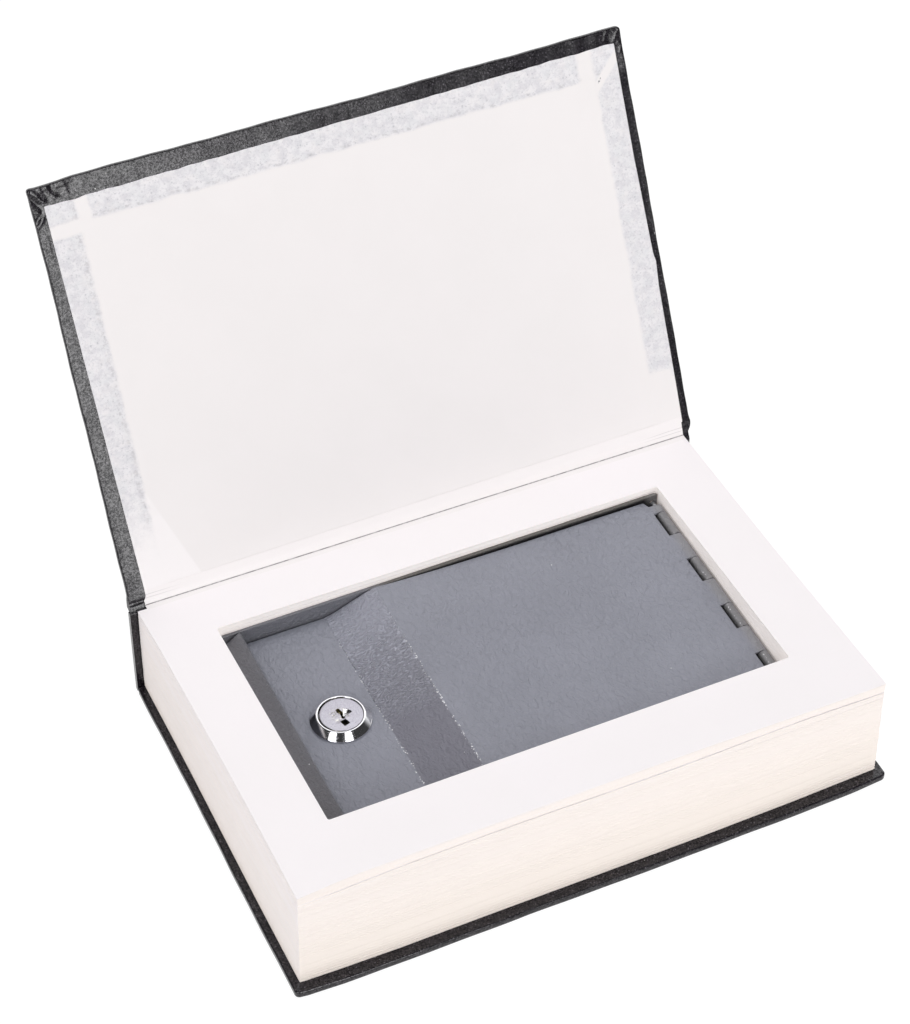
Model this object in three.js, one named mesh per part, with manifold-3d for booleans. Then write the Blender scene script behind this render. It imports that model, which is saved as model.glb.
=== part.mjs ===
// A hollowed-out hardcover book with a lockable steel box set into its pages.
// Millimetres, +Z up. X runs along the pages' long side, with the lock at -X and the box hinge at +X.
// Y runs from the fore-edge (-Y) to the spine (+Y). The origin is on the table, under the pages' centre.
// The book lies on its back cover, its front cover stands open and the steel lid is shut.

import * as THREE from 'three';
import { mergeVertices } from 'three/addons/utils/BufferGeometryUtils.js';
import Module from 'manifold-3d';

const wasm = await Module();
wasm.setup();

// Pages
const pageLength = 229;
const pageWidth = 152.4;
const thicknessSpineLeft = 40.0;
const thicknessSpineRight = 37.5;
const thicknessForeLeft = 43.9;
const thicknessForeRight = 44.3;
const leafThickness = 0.2;
const upperLeavesThickness = 2.0;
const innerLeavesThickness = 3.2;
const lowerLeavesThickness = 3.0;
const surfaceSteps = 6;

// Case: boards wrapped in cover cloth, with paper pasted inside
const clothThickness = 0.3;
const boardThickness = 1.8;
const glueLine = 0.1;
const coverCornerRadius = 2.0;
const endOverhang = 2.75;
const foreOverhang = 4.05;
const spineOverhang = 2.6;
const turnInWidth = 17;
const pastedownLockMargin = 6.2;
const pastedownHingeMargin = 2.3;
const pastedownForeMargin = 5.4;
const spineTopAboveLeaves = 38.6;
const spineLiningThickness = 0.2;
const spineLiningInset = 4;

// Front cover joint
const jointRadius = 1.6;
const jointSeatGap = 0.3;
const jointSetback = 0.5;
const jointClearance = 0.3;
const coverOpenAngle = THREE.MathUtils.degToRad(116.85);

// Steel box
const boxLength = 181.4;
const boxWidth = 103;
const boxHeight = 32.9;
const boxCentreY = 3.8;
const boxFit = 0.3;
const sheet = 1.2;
const boxCornerRadius = 1.6;
const lockWallHeight = 28.4;
const lipReach = 7.4;
const lipRise = 5.3;
const lipEndGap = 0.8;

// Lid, as one pressed sheet with a lowered shelf for the lock
const lidBelowWall = 1.4;
const shelfDrop = 4.8;
const shelfLength = 32.6;
const rampLength = 21;
const lidSideGap = 0.8;
const lidLipGap = 0.9;

// Lid hinge
const pinRadius = 1.0;
const pinClearance = 0.1;
const slotPitch = 26.8;
const slotLength = 13;
const firstSlotInset = 7;
const slotDepth = 3.3;
const knuckleGap = 0.3;
const cornerNotchLength = 2.8;
const cornerNotchDepth = 4.4;
const hingeWallClearance = 0.4;

// Cam lock
const lockInset = 17.9;
const skirtBaseRadius = 11.4;
const skirtTopRadius = 9.2;
const headHeight = 3.2;
const skirtEdge = 0.6;
const barrelRadius = 7.9;
const barrelFlats = 13.6;
const barrelLength = 14.1;
const barrelHoleClearance = 0.25;
const washerRadius = 10.6;
const washerThickness = 0.8;
const washerTeeth = 16;
const nutFlats = 20;
const nutThickness = 3;
const faceRadius = 8.15;
const faceThickness = 1.6;
const faceRecess = 0.15;
const plugRadius = 5.5;
const plugClearance = 0.2;
const keywayArm = 2.3;
const keywayWidth = 1.7;
const keywayDepth = 12.6;
const keywayTurn = 20;
const scoopReach = 1.1;
const scoopDepth = 1.2;
const tangRadius = 3.4;
const tangFlats = 5.0;
const camThickness = 1.8;
const camWidth = 10;
const camGap = 0.3;
const camTipClearance = 0.9;
const camWasherRadius = 5;
const camWasherThickness = 0.8;
const screwRadius = 1.5;
const screwHeadRadius = 3.4;
const screwHeadHeight = 2.2;
const screwDepth = 6;
const screwSlotWidth = 0.9;

// Wafers, one below the other in the plug, each with its own spring
const waferCount = 4;
const waferPitch = 2.4;
const firstWaferDepth = 3.2;
const waferThickness = 0.6;
const waferWidth = 6.4;
const waferRadius = 5.3;
const waferHole = 4.8;
const waferPlay = 0.1;
const waferTravel = 0.6;
const waferEarLength = 0.6;
const waferEarReach = 1.2;
const grooveRadius = 6.2;
const grooveWidth = 7.2;
const springRadius = 0.5;
const springLength = 2.1;

// Strike, welded to the wall at the lock end
const strikeWidth = 40;
const strikeLeg = 9.2;
const strikeCamGap = 0.6;
const restGap = 0.3;
const weldGap = 0.1;

// Levels and edges that follow from the sizes
const coverThickness = clothThickness * 2 + boardThickness + glueLine * 3 + leafThickness;
const leavesBase = coverThickness + glueLine;
const boxBase = leavesBase + lowerLeavesThickness + glueLine;
const boxTop = boxBase + boxHeight;
const halfLength = boxLength / 2;
const innerEnd = halfLength - sheet;
const wallBackY = boxCentreY + boxWidth / 2;
const wallFrontY = boxCentreY - boxWidth / 2;
const innerBackY = wallBackY - sheet;
const innerFrontY = wallFrontY + sheet;
const lidBackY = innerBackY - lidSideGap;
const lidFrontY = innerFrontY + lidSideGap;
const lidTop = boxTop - lidBelowWall;
const shelfTop = lidTop - shelfDrop;
const shelfUnderside = shelfTop - sheet;
const lipTipX = -halfLength + lipReach;
const lidEdgeX = lipTipX + lidLipGap + sheet / 3;
const rampStartX = lidEdgeX + shelfLength;
const knuckleRadius = pinRadius + pinClearance + sheet;
const hingeX = halfLength - knuckleRadius;
const hingeZ = lidTop - knuckleRadius;
const lockX = lidEdgeX + lockInset;
const headTop = shelfTop + headHeight;
const barrelBottom = shelfUnderside - barrelLength;
const camTop = barrelBottom - camGap;
const camBottom = camTop - camThickness;
const strikeWebX = -innerEnd + weldGap;
const coverHalfLength = pageLength / 2 + endOverhang;
const coverForeY = -pageWidth / 2 - foreOverhang;
const coverSpineY = pageWidth / 2 + spineOverhang;
const spineTop = leavesBase + spineTopAboveLeaves;
const jointY = coverSpineY + jointSetback;
const jointZ = spineTop + jointSeatGap + jointRadius;

// Materials
function finish(color, roughness, metalness) {
  return new THREE.MeshStandardMaterial({ color, roughness, metalness });
}

const leatherette = { color: 0x2b2a2d, roughness: 0.55, metalness: 0 };
const greyboard = { color: 0xa39a8c, roughness: 0.95, metalness: 0 };
const paper = { color: 0xf5f0ec, roughness: 0.9, metalness: 0 };
const paperEdge = { color: 0xf0e8df, roughness: 0.95, metalness: 0 };
const lining = { color: 0xe6e0d2, roughness: 0.95, metalness: 0 };
const hammerPaint = { color: 0x8b8c97, roughness: 0.45, metalness: 0.3 };
const zincSteel = { color: 0xb9bcc2, roughness: 0.35, metalness: 0.9 };
const chrome = { color: 0xd7d7de, roughness: 0.12, metalness: 1 };
const brass = { color: 0xc9a95c, roughness: 0.3, metalness: 1 };

// Solids
function signedVolume(positions, index) {
  let sum = 0;
  const a = new THREE.Vector3();
  const b = new THREE.Vector3();
  const c = new THREE.Vector3();
  for (let i = 0; i < index.length; i += 3) {
    a.fromArray(positions, index[i] * 3);
    b.fromArray(positions, index[i + 1] * 3);
    c.fromArray(positions, index[i + 2] * 3);
    sum += a.dot(b.cross(c)) / 6;
  }
  return sum;
}

function solidOf(geometry) {
  geometry.deleteAttribute('normal');
  geometry.deleteAttribute('uv');
  const merged = mergeVertices(geometry, 1e-5);
  const positions = merged.attributes.position.array;
  const corners = merged.index.array;
  const triangles = [];
  for (let i = 0; i < corners.length; i += 3) {
    const [a, b, c] = [corners[i], corners[i + 1], corners[i + 2]];
    if (a !== b && b !== c && c !== a) {
      triangles.push(a, b, c);
    }
  }
  if (signedVolume(positions, triangles) < 0) {
    triangles.reverse();
  }
  const vertProperties = new Float32Array(positions);
  const triVerts = new Uint32Array(triangles);
  return new wasm.Manifold(new wasm.Mesh({ numProp: 3, vertProperties, triVerts }));
}

function geometryOf(solid) {
  const mesh = solid.getMesh();
  const geometry = new THREE.BufferGeometry();
  geometry.setAttribute('position', new THREE.BufferAttribute(new Float32Array(mesh.vertProperties), 3));
  geometry.setIndex(new THREE.BufferAttribute(new Uint32Array(mesh.triVerts), 1));
  const flat = geometry.toNonIndexed();
  flat.computeVertexNormals();
  return flat;
}

function join(...solids) {
  return solids.reduce((whole, solid) => whole.add(solid));
}

function cut(solid, ...tools) {
  return tools.reduce((rest, tool) => rest.subtract(tool), solid);
}

function block(x0, x1, y0, y1, z0, z1) {
  const geometry = new THREE.BoxGeometry(x1 - x0, y1 - y0, z1 - z0);
  geometry.translate((x0 + x1) / 2, (y0 + y1) / 2, (z0 + z1) / 2);
  return solidOf(geometry);
}

function roundedOutline(x0, x1, y0, y1, radius) {
  const shape = new THREE.Shape();
  shape.moveTo(x0 + radius, y0);
  shape.lineTo(x1 - radius, y0);
  shape.absarc(x1 - radius, y0 + radius, radius, -Math.PI / 2, 0);
  shape.lineTo(x1, y1 - radius);
  shape.absarc(x1 - radius, y1 - radius, radius, 0, Math.PI / 2);
  shape.lineTo(x0 + radius, y1);
  shape.absarc(x0 + radius, y1 - radius, radius, Math.PI / 2, Math.PI);
  shape.lineTo(x0, y0 + radius);
  shape.absarc(x0 + radius, y0 + radius, radius, Math.PI, Math.PI * 1.5);
  return shape;
}

// A flat plate with rounded corners in plan
function plate(x0, x1, y0, y1, z0, z1, radius) {
  const shape = roundedOutline(x0, x1, y0, y1, radius);
  const geometry = new THREE.ExtrudeGeometry(shape, { depth: z1 - z0, bevelEnabled: false, curveSegments: 5 });
  geometry.translate(0, 0, z0);
  return solidOf(geometry);
}

function cylinderZ(x, y, radius, z0, z1, sides = 48) {
  const geometry = new THREE.CylinderGeometry(radius, radius, z1 - z0, sides);
  geometry.rotateX(Math.PI / 2);
  geometry.translate(x, y, (z0 + z1) / 2);
  return solidOf(geometry);
}

function cylinderY(x, z, radius, y0, y1, sides = 24) {
  const geometry = new THREE.CylinderGeometry(radius, radius, y1 - y0, sides);
  geometry.translate(x, (y0 + y1) / 2, z);
  return solidOf(geometry);
}

function cylinderX(y, z, radius, x0, x1, sides = 16) {
  const geometry = new THREE.CylinderGeometry(radius, radius, x1 - x0, sides);
  geometry.rotateZ(Math.PI / 2);
  geometry.translate((x0 + x1) / 2, y, z);
  return solidOf(geometry);
}

// A ring or turned piece about a vertical axis, from a closed outline of [radius, height] pairs
function turned(x, y, outline, sides = 48) {
  const points = [...outline, outline[0]].map(([radius, height]) => new THREE.Vector2(radius, height));
  const geometry = new THREE.LatheGeometry(points, sides);
  geometry.rotateX(Math.PI / 2);
  geometry.translate(x, y, 0);
  return solidOf(geometry);
}

// Extrudes an outline of [x, z] pairs along Y
function extrudeAlongY(outline, y0, y1) {
  const shape = new THREE.Shape(outline.map(([x, z]) => new THREE.Vector2(x, z)));
  const geometry = new THREE.ExtrudeGeometry(shape, { depth: y1 - y0, bevelEnabled: false });
  geometry.rotateX(Math.PI / 2);
  geometry.translate(0, y1, 0);
  return solidOf(geometry);
}

// Extrudes an outline of [x, y] pairs along Z
function extrudeAlongZ(outline, z0, z1) {
  const shape = new THREE.Shape(outline.map(([x, y]) => new THREE.Vector2(x, y)));
  const geometry = new THREE.ExtrudeGeometry(shape, { depth: z1 - z0, bevelEnabled: false });
  geometry.translate(0, 0, z0);
  return solidOf(geometry);
}

// The outline of a folded sheet: the given surface, and the same surface moved to its right by the thickness
function foldedSheet(surface, thickness) {
  const path = surface.map(([x, z]) => new THREE.Vector2(x, z));
  const rightOf = (a, b) => new THREE.Vector2(b.y - a.y, a.x - b.x).normalize();
  const inner = path.map((point, i) => {
    const before = rightOf(path[Math.max(i - 1, 0)], path[Math.max(i, 1)]);
    const after = rightOf(path[Math.min(i, path.length - 2)], path[Math.min(i + 1, path.length - 1)]);
    const mitre = before.clone().add(after).multiplyScalar(thickness / (1 + before.dot(after)));
    return point.clone().add(mitre);
  });
  return [...path, ...inner.reverse()].map((point) => [point.x, point.y]);
}

// Pages

// Height of the top of the pages, which rise from the spine to the fore-edge and dip at one spine corner
function pageTop(x, y) {
  const u = (x + pageLength / 2) / pageLength;
  const v = (y + pageWidth / 2) / pageWidth;
  const fore = THREE.MathUtils.lerp(thicknessForeLeft, thicknessForeRight, u);
  const spine = THREE.MathUtils.lerp(thicknessSpineLeft, thicknessSpineRight, u);
  return leavesBase + THREE.MathUtils.lerp(fore, spine, v);
}

// A stack of leaves between two height functions of x and y
function leaves(heightTop, heightBottom) {
  const n = surfaceSteps;
  const positions = [];
  for (const height of [heightTop, heightBottom]) {
    for (let j = 0; j <= n; j++) {
      for (let i = 0; i <= n; i++) {
        const x = (i / n - 0.5) * pageLength;
        const y = (j / n - 0.5) * pageWidth;
        positions.push(x, y, height(x, y));
      }
    }
  }
  const at = (i, j, layer) => layer * (n + 1) * (n + 1) + j * (n + 1) + i;
  const index = [];
  const quad = (a, b, c, d) => index.push(a, b, c, a, c, d);
  for (let k = 0; k < n; k++) {
    for (let i = 0; i < n; i++) {
      quad(at(i, k, 0), at(i + 1, k, 0), at(i + 1, k + 1, 0), at(i, k + 1, 0));
      quad(at(i, k, 1), at(i, k + 1, 1), at(i + 1, k + 1, 1), at(i + 1, k, 1));
    }
    quad(at(k, 0, 1), at(k + 1, 0, 1), at(k + 1, 0, 0), at(k, 0, 0));
    quad(at(k, n, 0), at(k + 1, n, 0), at(k + 1, n, 1), at(k, n, 1));
    quad(at(0, k, 0), at(0, k + 1, 0), at(0, k + 1, 1), at(0, k, 1));
    quad(at(n, k, 1), at(n, k + 1, 1), at(n, k + 1, 0), at(n, k, 0));
  }
  const geometry = new THREE.BufferGeometry();
  geometry.setAttribute('position', new THREE.BufferAttribute(new Float32Array(positions), 3));
  geometry.setIndex(index);
  return solidOf(geometry);
}

const windowCutter = plate(
  -halfLength - boxFit,
  halfLength + boxFit,
  wallFrontY - boxFit,
  wallBackY + boxFit,
  leavesBase + lowerLeavesThickness,
  leavesBase + Math.max(thicknessForeLeft, thicknessForeRight) + 5,
  boxCornerRadius + boxFit
);

const belowTop = (depth) => (x, y) => pageTop(x, y) - depth;
const upperDepth = leafThickness + glueLine;
const innerDepth = upperDepth + upperLeavesThickness + glueLine;
const blockDepth = innerDepth + innerLeavesThickness + glueLine;
const flyleaf = cut(leaves(belowTop(0), belowTop(leafThickness)), windowCutter);
const upperLeaves = cut(leaves(belowTop(upperDepth), belowTop(innerDepth - glueLine)), windowCutter);
const innerLeaves = cut(leaves(belowTop(innerDepth), belowTop(blockDepth - glueLine)), windowCutter);
const pageBlock = cut(leaves(belowTop(blockDepth), () => boxBase), windowCutter);
const lowerLeaves = leaves(() => leavesBase + lowerLeavesThickness, () => leavesBase);

// Case

// One cover: a board, the cloth wrapped round it and the sheet pasted inside.
// The inner face is at innerZ, and outward is the side that the cloth faces.
function coverLayers(y0, y1, innerZ, outward, sheetArea) {
  const halfX = coverHalfLength;
  const turnIn = leafThickness + glueLine;
  const boardInner = turnIn + clothThickness + glueLine;
  const boardOuter = boardInner + boardThickness;
  const slab = (inset, depth0, depth1) => {
    const za = innerZ + outward * depth0;
    const zb = innerZ + outward * depth1;
    const radius = Math.max(coverCornerRadius - inset, 0.2);
    return plate(
      -halfX + inset,
      halfX - inset,
      y0 + inset,
      y1 - inset,
      Math.min(za, zb),
      Math.max(za, zb),
      inset > coverCornerRadius ? 0.2 : radius
    );
  };
  const wrap = cut(
    slab(0, turnIn, coverThickness),
    slab(clothThickness, boardInner - glueLine, boardOuter + glueLine),
    slab(turnInWidth, 0, boardInner)
  );
  const board = slab(clothThickness + glueLine, boardInner, boardOuter);
  const sheetLow = Math.min(innerZ, innerZ + outward * leafThickness);
  const pasted = plate(...sheetArea, sheetLow, sheetLow + leafThickness, coverCornerRadius / 2);
  return { board, wrap, pasted };
}

const backCover = coverLayers(coverForeY, coverSpineY, coverThickness, -1, [
  -pageLength / 2,
  pageLength / 2,
  -pageWidth / 2,
  pageWidth / 2
]);

// The front cover is drawn shut and level, with its joint axis at the origin
const frontForeY = coverForeY - jointY;
const frontSpineY = -jointRadius - jointClearance;
const frontCover = coverLayers(frontForeY, frontSpineY, 0, 1, [
  -coverHalfLength + pastedownLockMargin,
  coverHalfLength - pastedownHingeMargin,
  frontForeY + pastedownForeMargin,
  frontSpineY
]);

// The spine strip stands on the back cover, with cloth folded over its ends
const spineInnerY = coverSpineY - clothThickness * 2 - glueLine * 2 - (boardThickness - 0.5);
const spineBoard = block(
  -coverHalfLength + clothThickness + glueLine,
  coverHalfLength - clothThickness - glueLine,
  spineInnerY + clothThickness + glueLine,
  coverSpineY - clothThickness - glueLine,
  leavesBase + clothThickness + glueLine,
  spineTop - clothThickness - glueLine
);
const spineCloth = cut(
  block(-coverHalfLength, coverHalfLength, spineInnerY, coverSpineY, leavesBase, spineTop),
  block(
    -coverHalfLength + clothThickness,
    coverHalfLength - clothThickness,
    spineInnerY + clothThickness,
    coverSpineY - clothThickness,
    leavesBase + clothThickness,
    spineTop - clothThickness
  ),
  block(
    -coverHalfLength + turnInWidth,
    coverHalfLength - turnInWidth,
    spineInnerY - 1,
    spineInnerY + clothThickness + glueLine / 2,
    leavesBase + turnInWidth / 4,
    spineTop - turnInWidth / 4
  )
);
const liningY = pageWidth / 2 + glueLine;
const spineLining = block(
  -pageLength / 2 + spineLiningInset,
  pageLength / 2 - spineLiningInset,
  liningY,
  liningY + spineLiningThickness,
  boxBase,
  leavesBase + thicknessSpineRight - blockDepth
);
const frontJoint = cylinderX(jointY, jointZ, jointRadius, -coverHalfLength, coverHalfLength);

// Steel box
const slotStarts = [];
for (let y = lidBackY - firstSlotInset; y > lidFrontY + knuckleGap * 4; y -= slotPitch) {
  slotStarts.push(y);
}

function slotEnd(start) {
  const end = start - slotLength;
  return end - knuckleGap * 2 < lidFrontY ? lidFrontY : end;
}

function knuckleAlong(y0, y1) {
  return cylinderY(hingeX, hingeZ, knuckleRadius, y0, y1);
}

function pinBore() {
  return cylinderY(hingeX, hingeZ, pinRadius + pinClearance, wallFrontY - 1, wallBackY + 1);
}

function makeTray() {
  const shell = cut(
    plate(-halfLength, halfLength, wallFrontY, wallBackY, boxBase, boxTop, boxCornerRadius),
    plate(-innerEnd, innerEnd, innerFrontY, innerBackY, boxBase + sheet, boxTop + 1, boxCornerRadius - sheet),
    block(-halfLength - 1, -innerEnd + 1, innerFrontY, innerBackY, boxBase + lockWallHeight, boxTop + 1),
    block(innerEnd - 1, halfLength + 1, innerFrontY, innerBackY, hingeZ - knuckleRadius - hingeWallClearance, boxTop + 1)
  );
  const lipSurface = [
    [-halfLength, boxBase + sheet],
    [-halfLength, boxBase + lockWallHeight],
    [lipTipX, boxBase + lockWallHeight + lipRise]
  ];
  const lip = extrudeAlongY(foldedSheet(lipSurface, sheet), innerFrontY + lipEndGap, innerBackY - lipEndGap);
  const knuckles = slotStarts.map((start) => {
    const y1 = start - knuckleGap;
    const y0 = slotEnd(start) + (slotEnd(start) > lidFrontY ? knuckleGap : 0);
    const leg = block(innerEnd, halfLength, y0, y1, boxBase + sheet, hingeZ);
    return join(leg, knuckleAlong(y0, y1));
  });
  return cut(join(shell, lip, ...knuckles), pinBore());
}

function makeLid() {
  const surface = [
    [lidEdgeX, shelfTop],
    [rampStartX, shelfTop],
    [rampStartX + rampLength, lidTop],
    [hingeX, lidTop]
  ];
  const panel = extrudeAlongY(foldedSheet(surface, sheet), lidFrontY, lidBackY);
  const notchY = lidBackY - cornerNotchLength;
  const notch = extrudeAlongZ(
    [
      [hingeX - cornerNotchDepth, lidBackY + 1],
      [hingeX - cornerNotchDepth, lidBackY],
      [hingeX - slotDepth, notchY],
      [halfLength, notchY],
      [halfLength, lidBackY + 1]
    ],
    hingeZ - knuckleRadius,
    lidTop + 1
  );
  const slots = slotStarts.map((start) => {
    const end = slotEnd(start);
    const front = end > lidFrontY ? end : lidFrontY - 1;
    return block(hingeX - slotDepth, halfLength + 1, front, start, hingeZ - knuckleRadius, lidTop + 1);
  });
  const rings = [knuckleAlong(slotStarts[0], notchY)];
  slotStarts.forEach((start, i) => {
    const end = slotEnd(start);
    const next = i + 1 < slotStarts.length ? slotStarts[i + 1] : lidFrontY;
    if (end > next) {
      rings.push(knuckleAlong(next, end));
    }
  });
  const holeRadius = barrelRadius + barrelHoleClearance;
  const holeFlats = barrelFlats / 2 + barrelHoleClearance;
  const lockHole = cylinderZ(lockX, boxCentreY, holeRadius, shelfUnderside - 1, shelfTop + 1).intersect(
    block(lockX - holeFlats, lockX + holeFlats, lidFrontY, lidBackY, shelfUnderside - 1, shelfTop + 1)
  );
  return cut(join(cut(panel, notch, ...slots), ...rings), pinBore(), lockHole);
}

const hingePin = cylinderY(hingeX, hingeZ, pinRadius, innerFrontY + knuckleGap, innerBackY - knuckleGap);

const strikeTop = shelfUnderside - restGap;
const strikeBottom = camTop + strikeCamGap;
const strikeSurface = [
  [strikeWebX + strikeLeg, strikeBottom],
  [strikeWebX, strikeBottom],
  [strikeWebX, strikeTop],
  [strikeWebX + strikeLeg, strikeTop]
];
const strike = extrudeAlongY(
  foldedSheet(strikeSurface, sheet),
  boxCentreY - strikeWidth / 2,
  boxCentreY + strikeWidth / 2
);

// Cam lock
const lockY = boxCentreY;
const boreRadius = plugRadius + plugClearance;
const faceTop = headTop - faceRecess;
const faceBottom = faceTop - faceThickness;
const waferZ = Array.from({ length: waferCount }, (_, i) => faceBottom - firstWaferDepth - i * waferPitch);

function makeHousing() {
  const headBore = faceRadius + plugClearance;
  const headFloor = faceBottom - plugClearance;
  const body = turned(lockX, lockY, [
    [boreRadius, barrelBottom],
    [barrelRadius, barrelBottom],
    [barrelRadius, shelfTop + glueLine],
    [skirtBaseRadius, shelfTop + glueLine],
    [skirtBaseRadius, shelfTop + glueLine + skirtEdge],
    [skirtTopRadius, headTop],
    [headBore, headTop],
    [headBore, headFloor],
    [boreRadius, headFloor]
  ]);
  const flatReach = barrelRadius + 2;
  const flats = [-1, 1].map((side) => {
    const near = lockX + (side * barrelFlats) / 2;
    const far = lockX + side * flatReach;
    return block(
      Math.min(near, far),
      Math.max(near, far),
      lockY - flatReach,
      lockY + flatReach,
      barrelBottom - 1,
      shelfTop + glueLine
    );
  });
  const grooveBottom = waferZ[waferCount - 1] - waferThickness - 1;
  const grooveTop = waferZ[0] + waferThickness + 1;
  const half = grooveWidth / 2;
  const grooves = [
    block(lockX - grooveRadius, lockX + grooveRadius, lockY - half, lockY + half, grooveBottom, grooveTop),
    block(lockX - half, lockX + half, lockY - grooveRadius, lockY + grooveRadius, grooveBottom, grooveTop)
  ];
  return cut(body, ...flats, ...grooves);
}

// Wafer shapes are drawn for a wafer that slides along +X, and every other wafer is turned to slide along +Y
function aroundLock(solid, i) {
  return solid.rotate([0, 0, i % 2 === 0 ? 0 : 90]).translate([lockX, lockY, 0]);
}

const earX = 1.0;
const slotHalf = waferWidth / 2 + waferPlay;

function waferSlot(i) {
  const z0 = waferZ[i] - waferThickness / 2 - waferPlay;
  const z1 = waferZ[i] + waferThickness / 2 + waferPlay;
  const slot = block(-plugRadius - 1, plugRadius + 1, -slotHalf, slotHalf, z0, z1);
  const pocket = block(
    earX - springLength - waferPlay * 2,
    earX + waferEarLength + waferTravel + waferPlay,
    0,
    waferWidth / 2 + waferEarReach + waferPlay,
    waferZ[i] - springRadius - waferPlay,
    waferZ[i] + springRadius + waferPlay
  );
  return aroundLock(join(slot, pocket), i);
}

function makeWafer(i) {
  const z0 = waferZ[i] - waferThickness / 2;
  const z1 = waferZ[i] + waferThickness / 2;
  const hole = waferHole / 2;
  const body = cylinderZ(0, 0, waferRadius, z0, z1).intersect(
    block(-plugRadius, plugRadius, -waferWidth / 2, waferWidth / 2, z0 - 1, z1 + 1)
  );
  const ear = block(earX, earX + waferEarLength, waferWidth / 2 - 0.3, waferWidth / 2 + waferEarReach, z0, z1);
  return aroundLock(cut(join(body, ear), block(-hole, hole, -hole, hole, z0 - 1, z1 + 1)), i);
}

function makeWaferSpring(i) {
  const y = waferWidth / 2 + waferEarReach / 2 + waferPlay;
  const spring = cylinderX(y, waferZ[i], springRadius, earX - springLength - waferPlay, earX - waferPlay, 8);
  return aroundLock(spring, i);
}

// The cross-shaped keyway: four slots that open into sloping scoops at the face
function makeKeyway() {
  const arm = extrudeAlongY(
    [
      [0, faceTop - keywayDepth],
      [keywayArm, faceTop - keywayDepth],
      [keywayArm, faceTop - scoopDepth],
      [keywayArm + scoopReach, faceTop],
      [keywayArm + scoopReach, faceTop + 1],
      [0, faceTop + 1]
    ],
    -keywayWidth / 2,
    keywayWidth / 2
  );
  const arms = [0, 90, 180, 270].map((turn) => arm.rotate([0, 0, turn + keywayTurn]));
  return join(...arms).translate([lockX, lockY, 0]);
}

function makePlug() {
  const face = cylinderZ(lockX, lockY, faceRadius, faceBottom, faceTop, 64);
  const body = cylinderZ(lockX, lockY, plugRadius, barrelBottom, faceBottom + 0.5);
  const tang = cylinderZ(lockX, lockY, tangRadius, camBottom + 0.1, barrelBottom + 0.5, 32).intersect(
    block(lockX - tangRadius, lockX + tangRadius, lockY - tangFlats / 2, lockY + tangFlats / 2, camBottom, barrelBottom + 1)
  );
  const screwHole = cylinderZ(lockX, lockY, screwRadius + plugClearance, camBottom - 1, camBottom + screwDepth, 24);
  const slots = waferZ.map((_, i) => waferSlot(i));
  return cut(join(face, body, tang), makeKeyway(), screwHole, ...slots);
}

function makeCam() {
  const reach = lockX - (strikeWebX + sheet + camTipClearance);
  const half = camWidth / 2;
  const shape = new THREE.Shape();
  shape.absarc(0, 0, half + 1.5, Math.PI * 0.75, Math.PI * 2.25);
  shape.lineTo(half, reach - half);
  shape.absarc(0, reach - half, half, 0, Math.PI);
  const geometry = new THREE.ExtrudeGeometry(shape, { depth: camThickness, bevelEnabled: false, curveSegments: 16 });
  geometry.translate(lockX, lockY, camBottom);
  const clearance = plugClearance;
  const hole = cylinderZ(lockX, lockY, tangRadius + clearance, camBottom - 1, camTop + 1, 32).intersect(
    block(
      lockX - tangRadius - 1,
      lockX + tangRadius + 1,
      lockY - tangFlats / 2 - clearance,
      lockY + tangFlats / 2 + clearance,
      camBottom - 1,
      camTop + 1
    )
  );
  return cut(solidOf(geometry), hole);
}

function makeLockWasher() {
  const top = shelfUnderside - glueLine;
  const outer = washerRadius;
  const ring = turned(lockX, lockY, [
    [barrelRadius + plugClearance, top - washerThickness],
    [outer, top - washerThickness],
    [outer, top],
    [barrelRadius + plugClearance, top]
  ]);
  const gaps = Array.from({ length: washerTeeth }, (_, i) => {
    const notch = block(outer - 0.9, outer + 1, -0.5, 0.5, top - washerThickness - 1, top + 1);
    return notch.rotate([0, 0, (360 / washerTeeth) * i]).translate([lockX, lockY, 0]);
  });
  return cut(ring, ...gaps);
}

function makeLockNut() {
  const top = shelfUnderside - glueLine * 2 - washerThickness;
  const corner = nutFlats / 2 / Math.cos(Math.PI / 6);
  const hex = cylinderZ(lockX, lockY, corner, top - nutThickness, top, 6);
  return cut(hex, cylinderZ(lockX, lockY, barrelRadius + plugClearance, top - nutThickness - 1, top + 1));
}

const camWasherTop = camBottom - glueLine;
const camWasherBottom = camWasherTop - camWasherThickness;

function makeCamWasher() {
  const ring = cylinderZ(lockX, lockY, camWasherRadius, camWasherBottom, camWasherTop, 32);
  return cut(ring, cylinderZ(lockX, lockY, screwRadius + plugClearance, camWasherBottom - 1, camWasherTop + 1, 24));
}

function makeCamScrew() {
  const headTopZ = camWasherBottom - glueLine;
  const headBottomZ = headTopZ - screwHeadHeight;
  const head = cylinderZ(lockX, lockY, screwHeadRadius, headBottomZ, headTopZ, 32);
  const shank = cylinderZ(lockX, lockY, screwRadius, headTopZ - 0.5, camBottom + screwDepth - 0.5, 24);
  const reach = screwHeadRadius + 1;
  const half = screwSlotWidth / 2;
  const slotDepthZ = headBottomZ + screwHeadHeight / 2;
  return cut(
    join(head, shank),
    block(lockX - reach, lockX + reach, lockY - half, lockY + half, headBottomZ - 1, slotDepthZ)
  );
}

// Assembly
const book = new THREE.Group();

function addPiece(group, name, solid, look) {
  const mesh = new THREE.Mesh(geometryOf(solid), finish(look.color, look.roughness, look.metalness));
  mesh.name = name;
  group.add(mesh);
}

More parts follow.
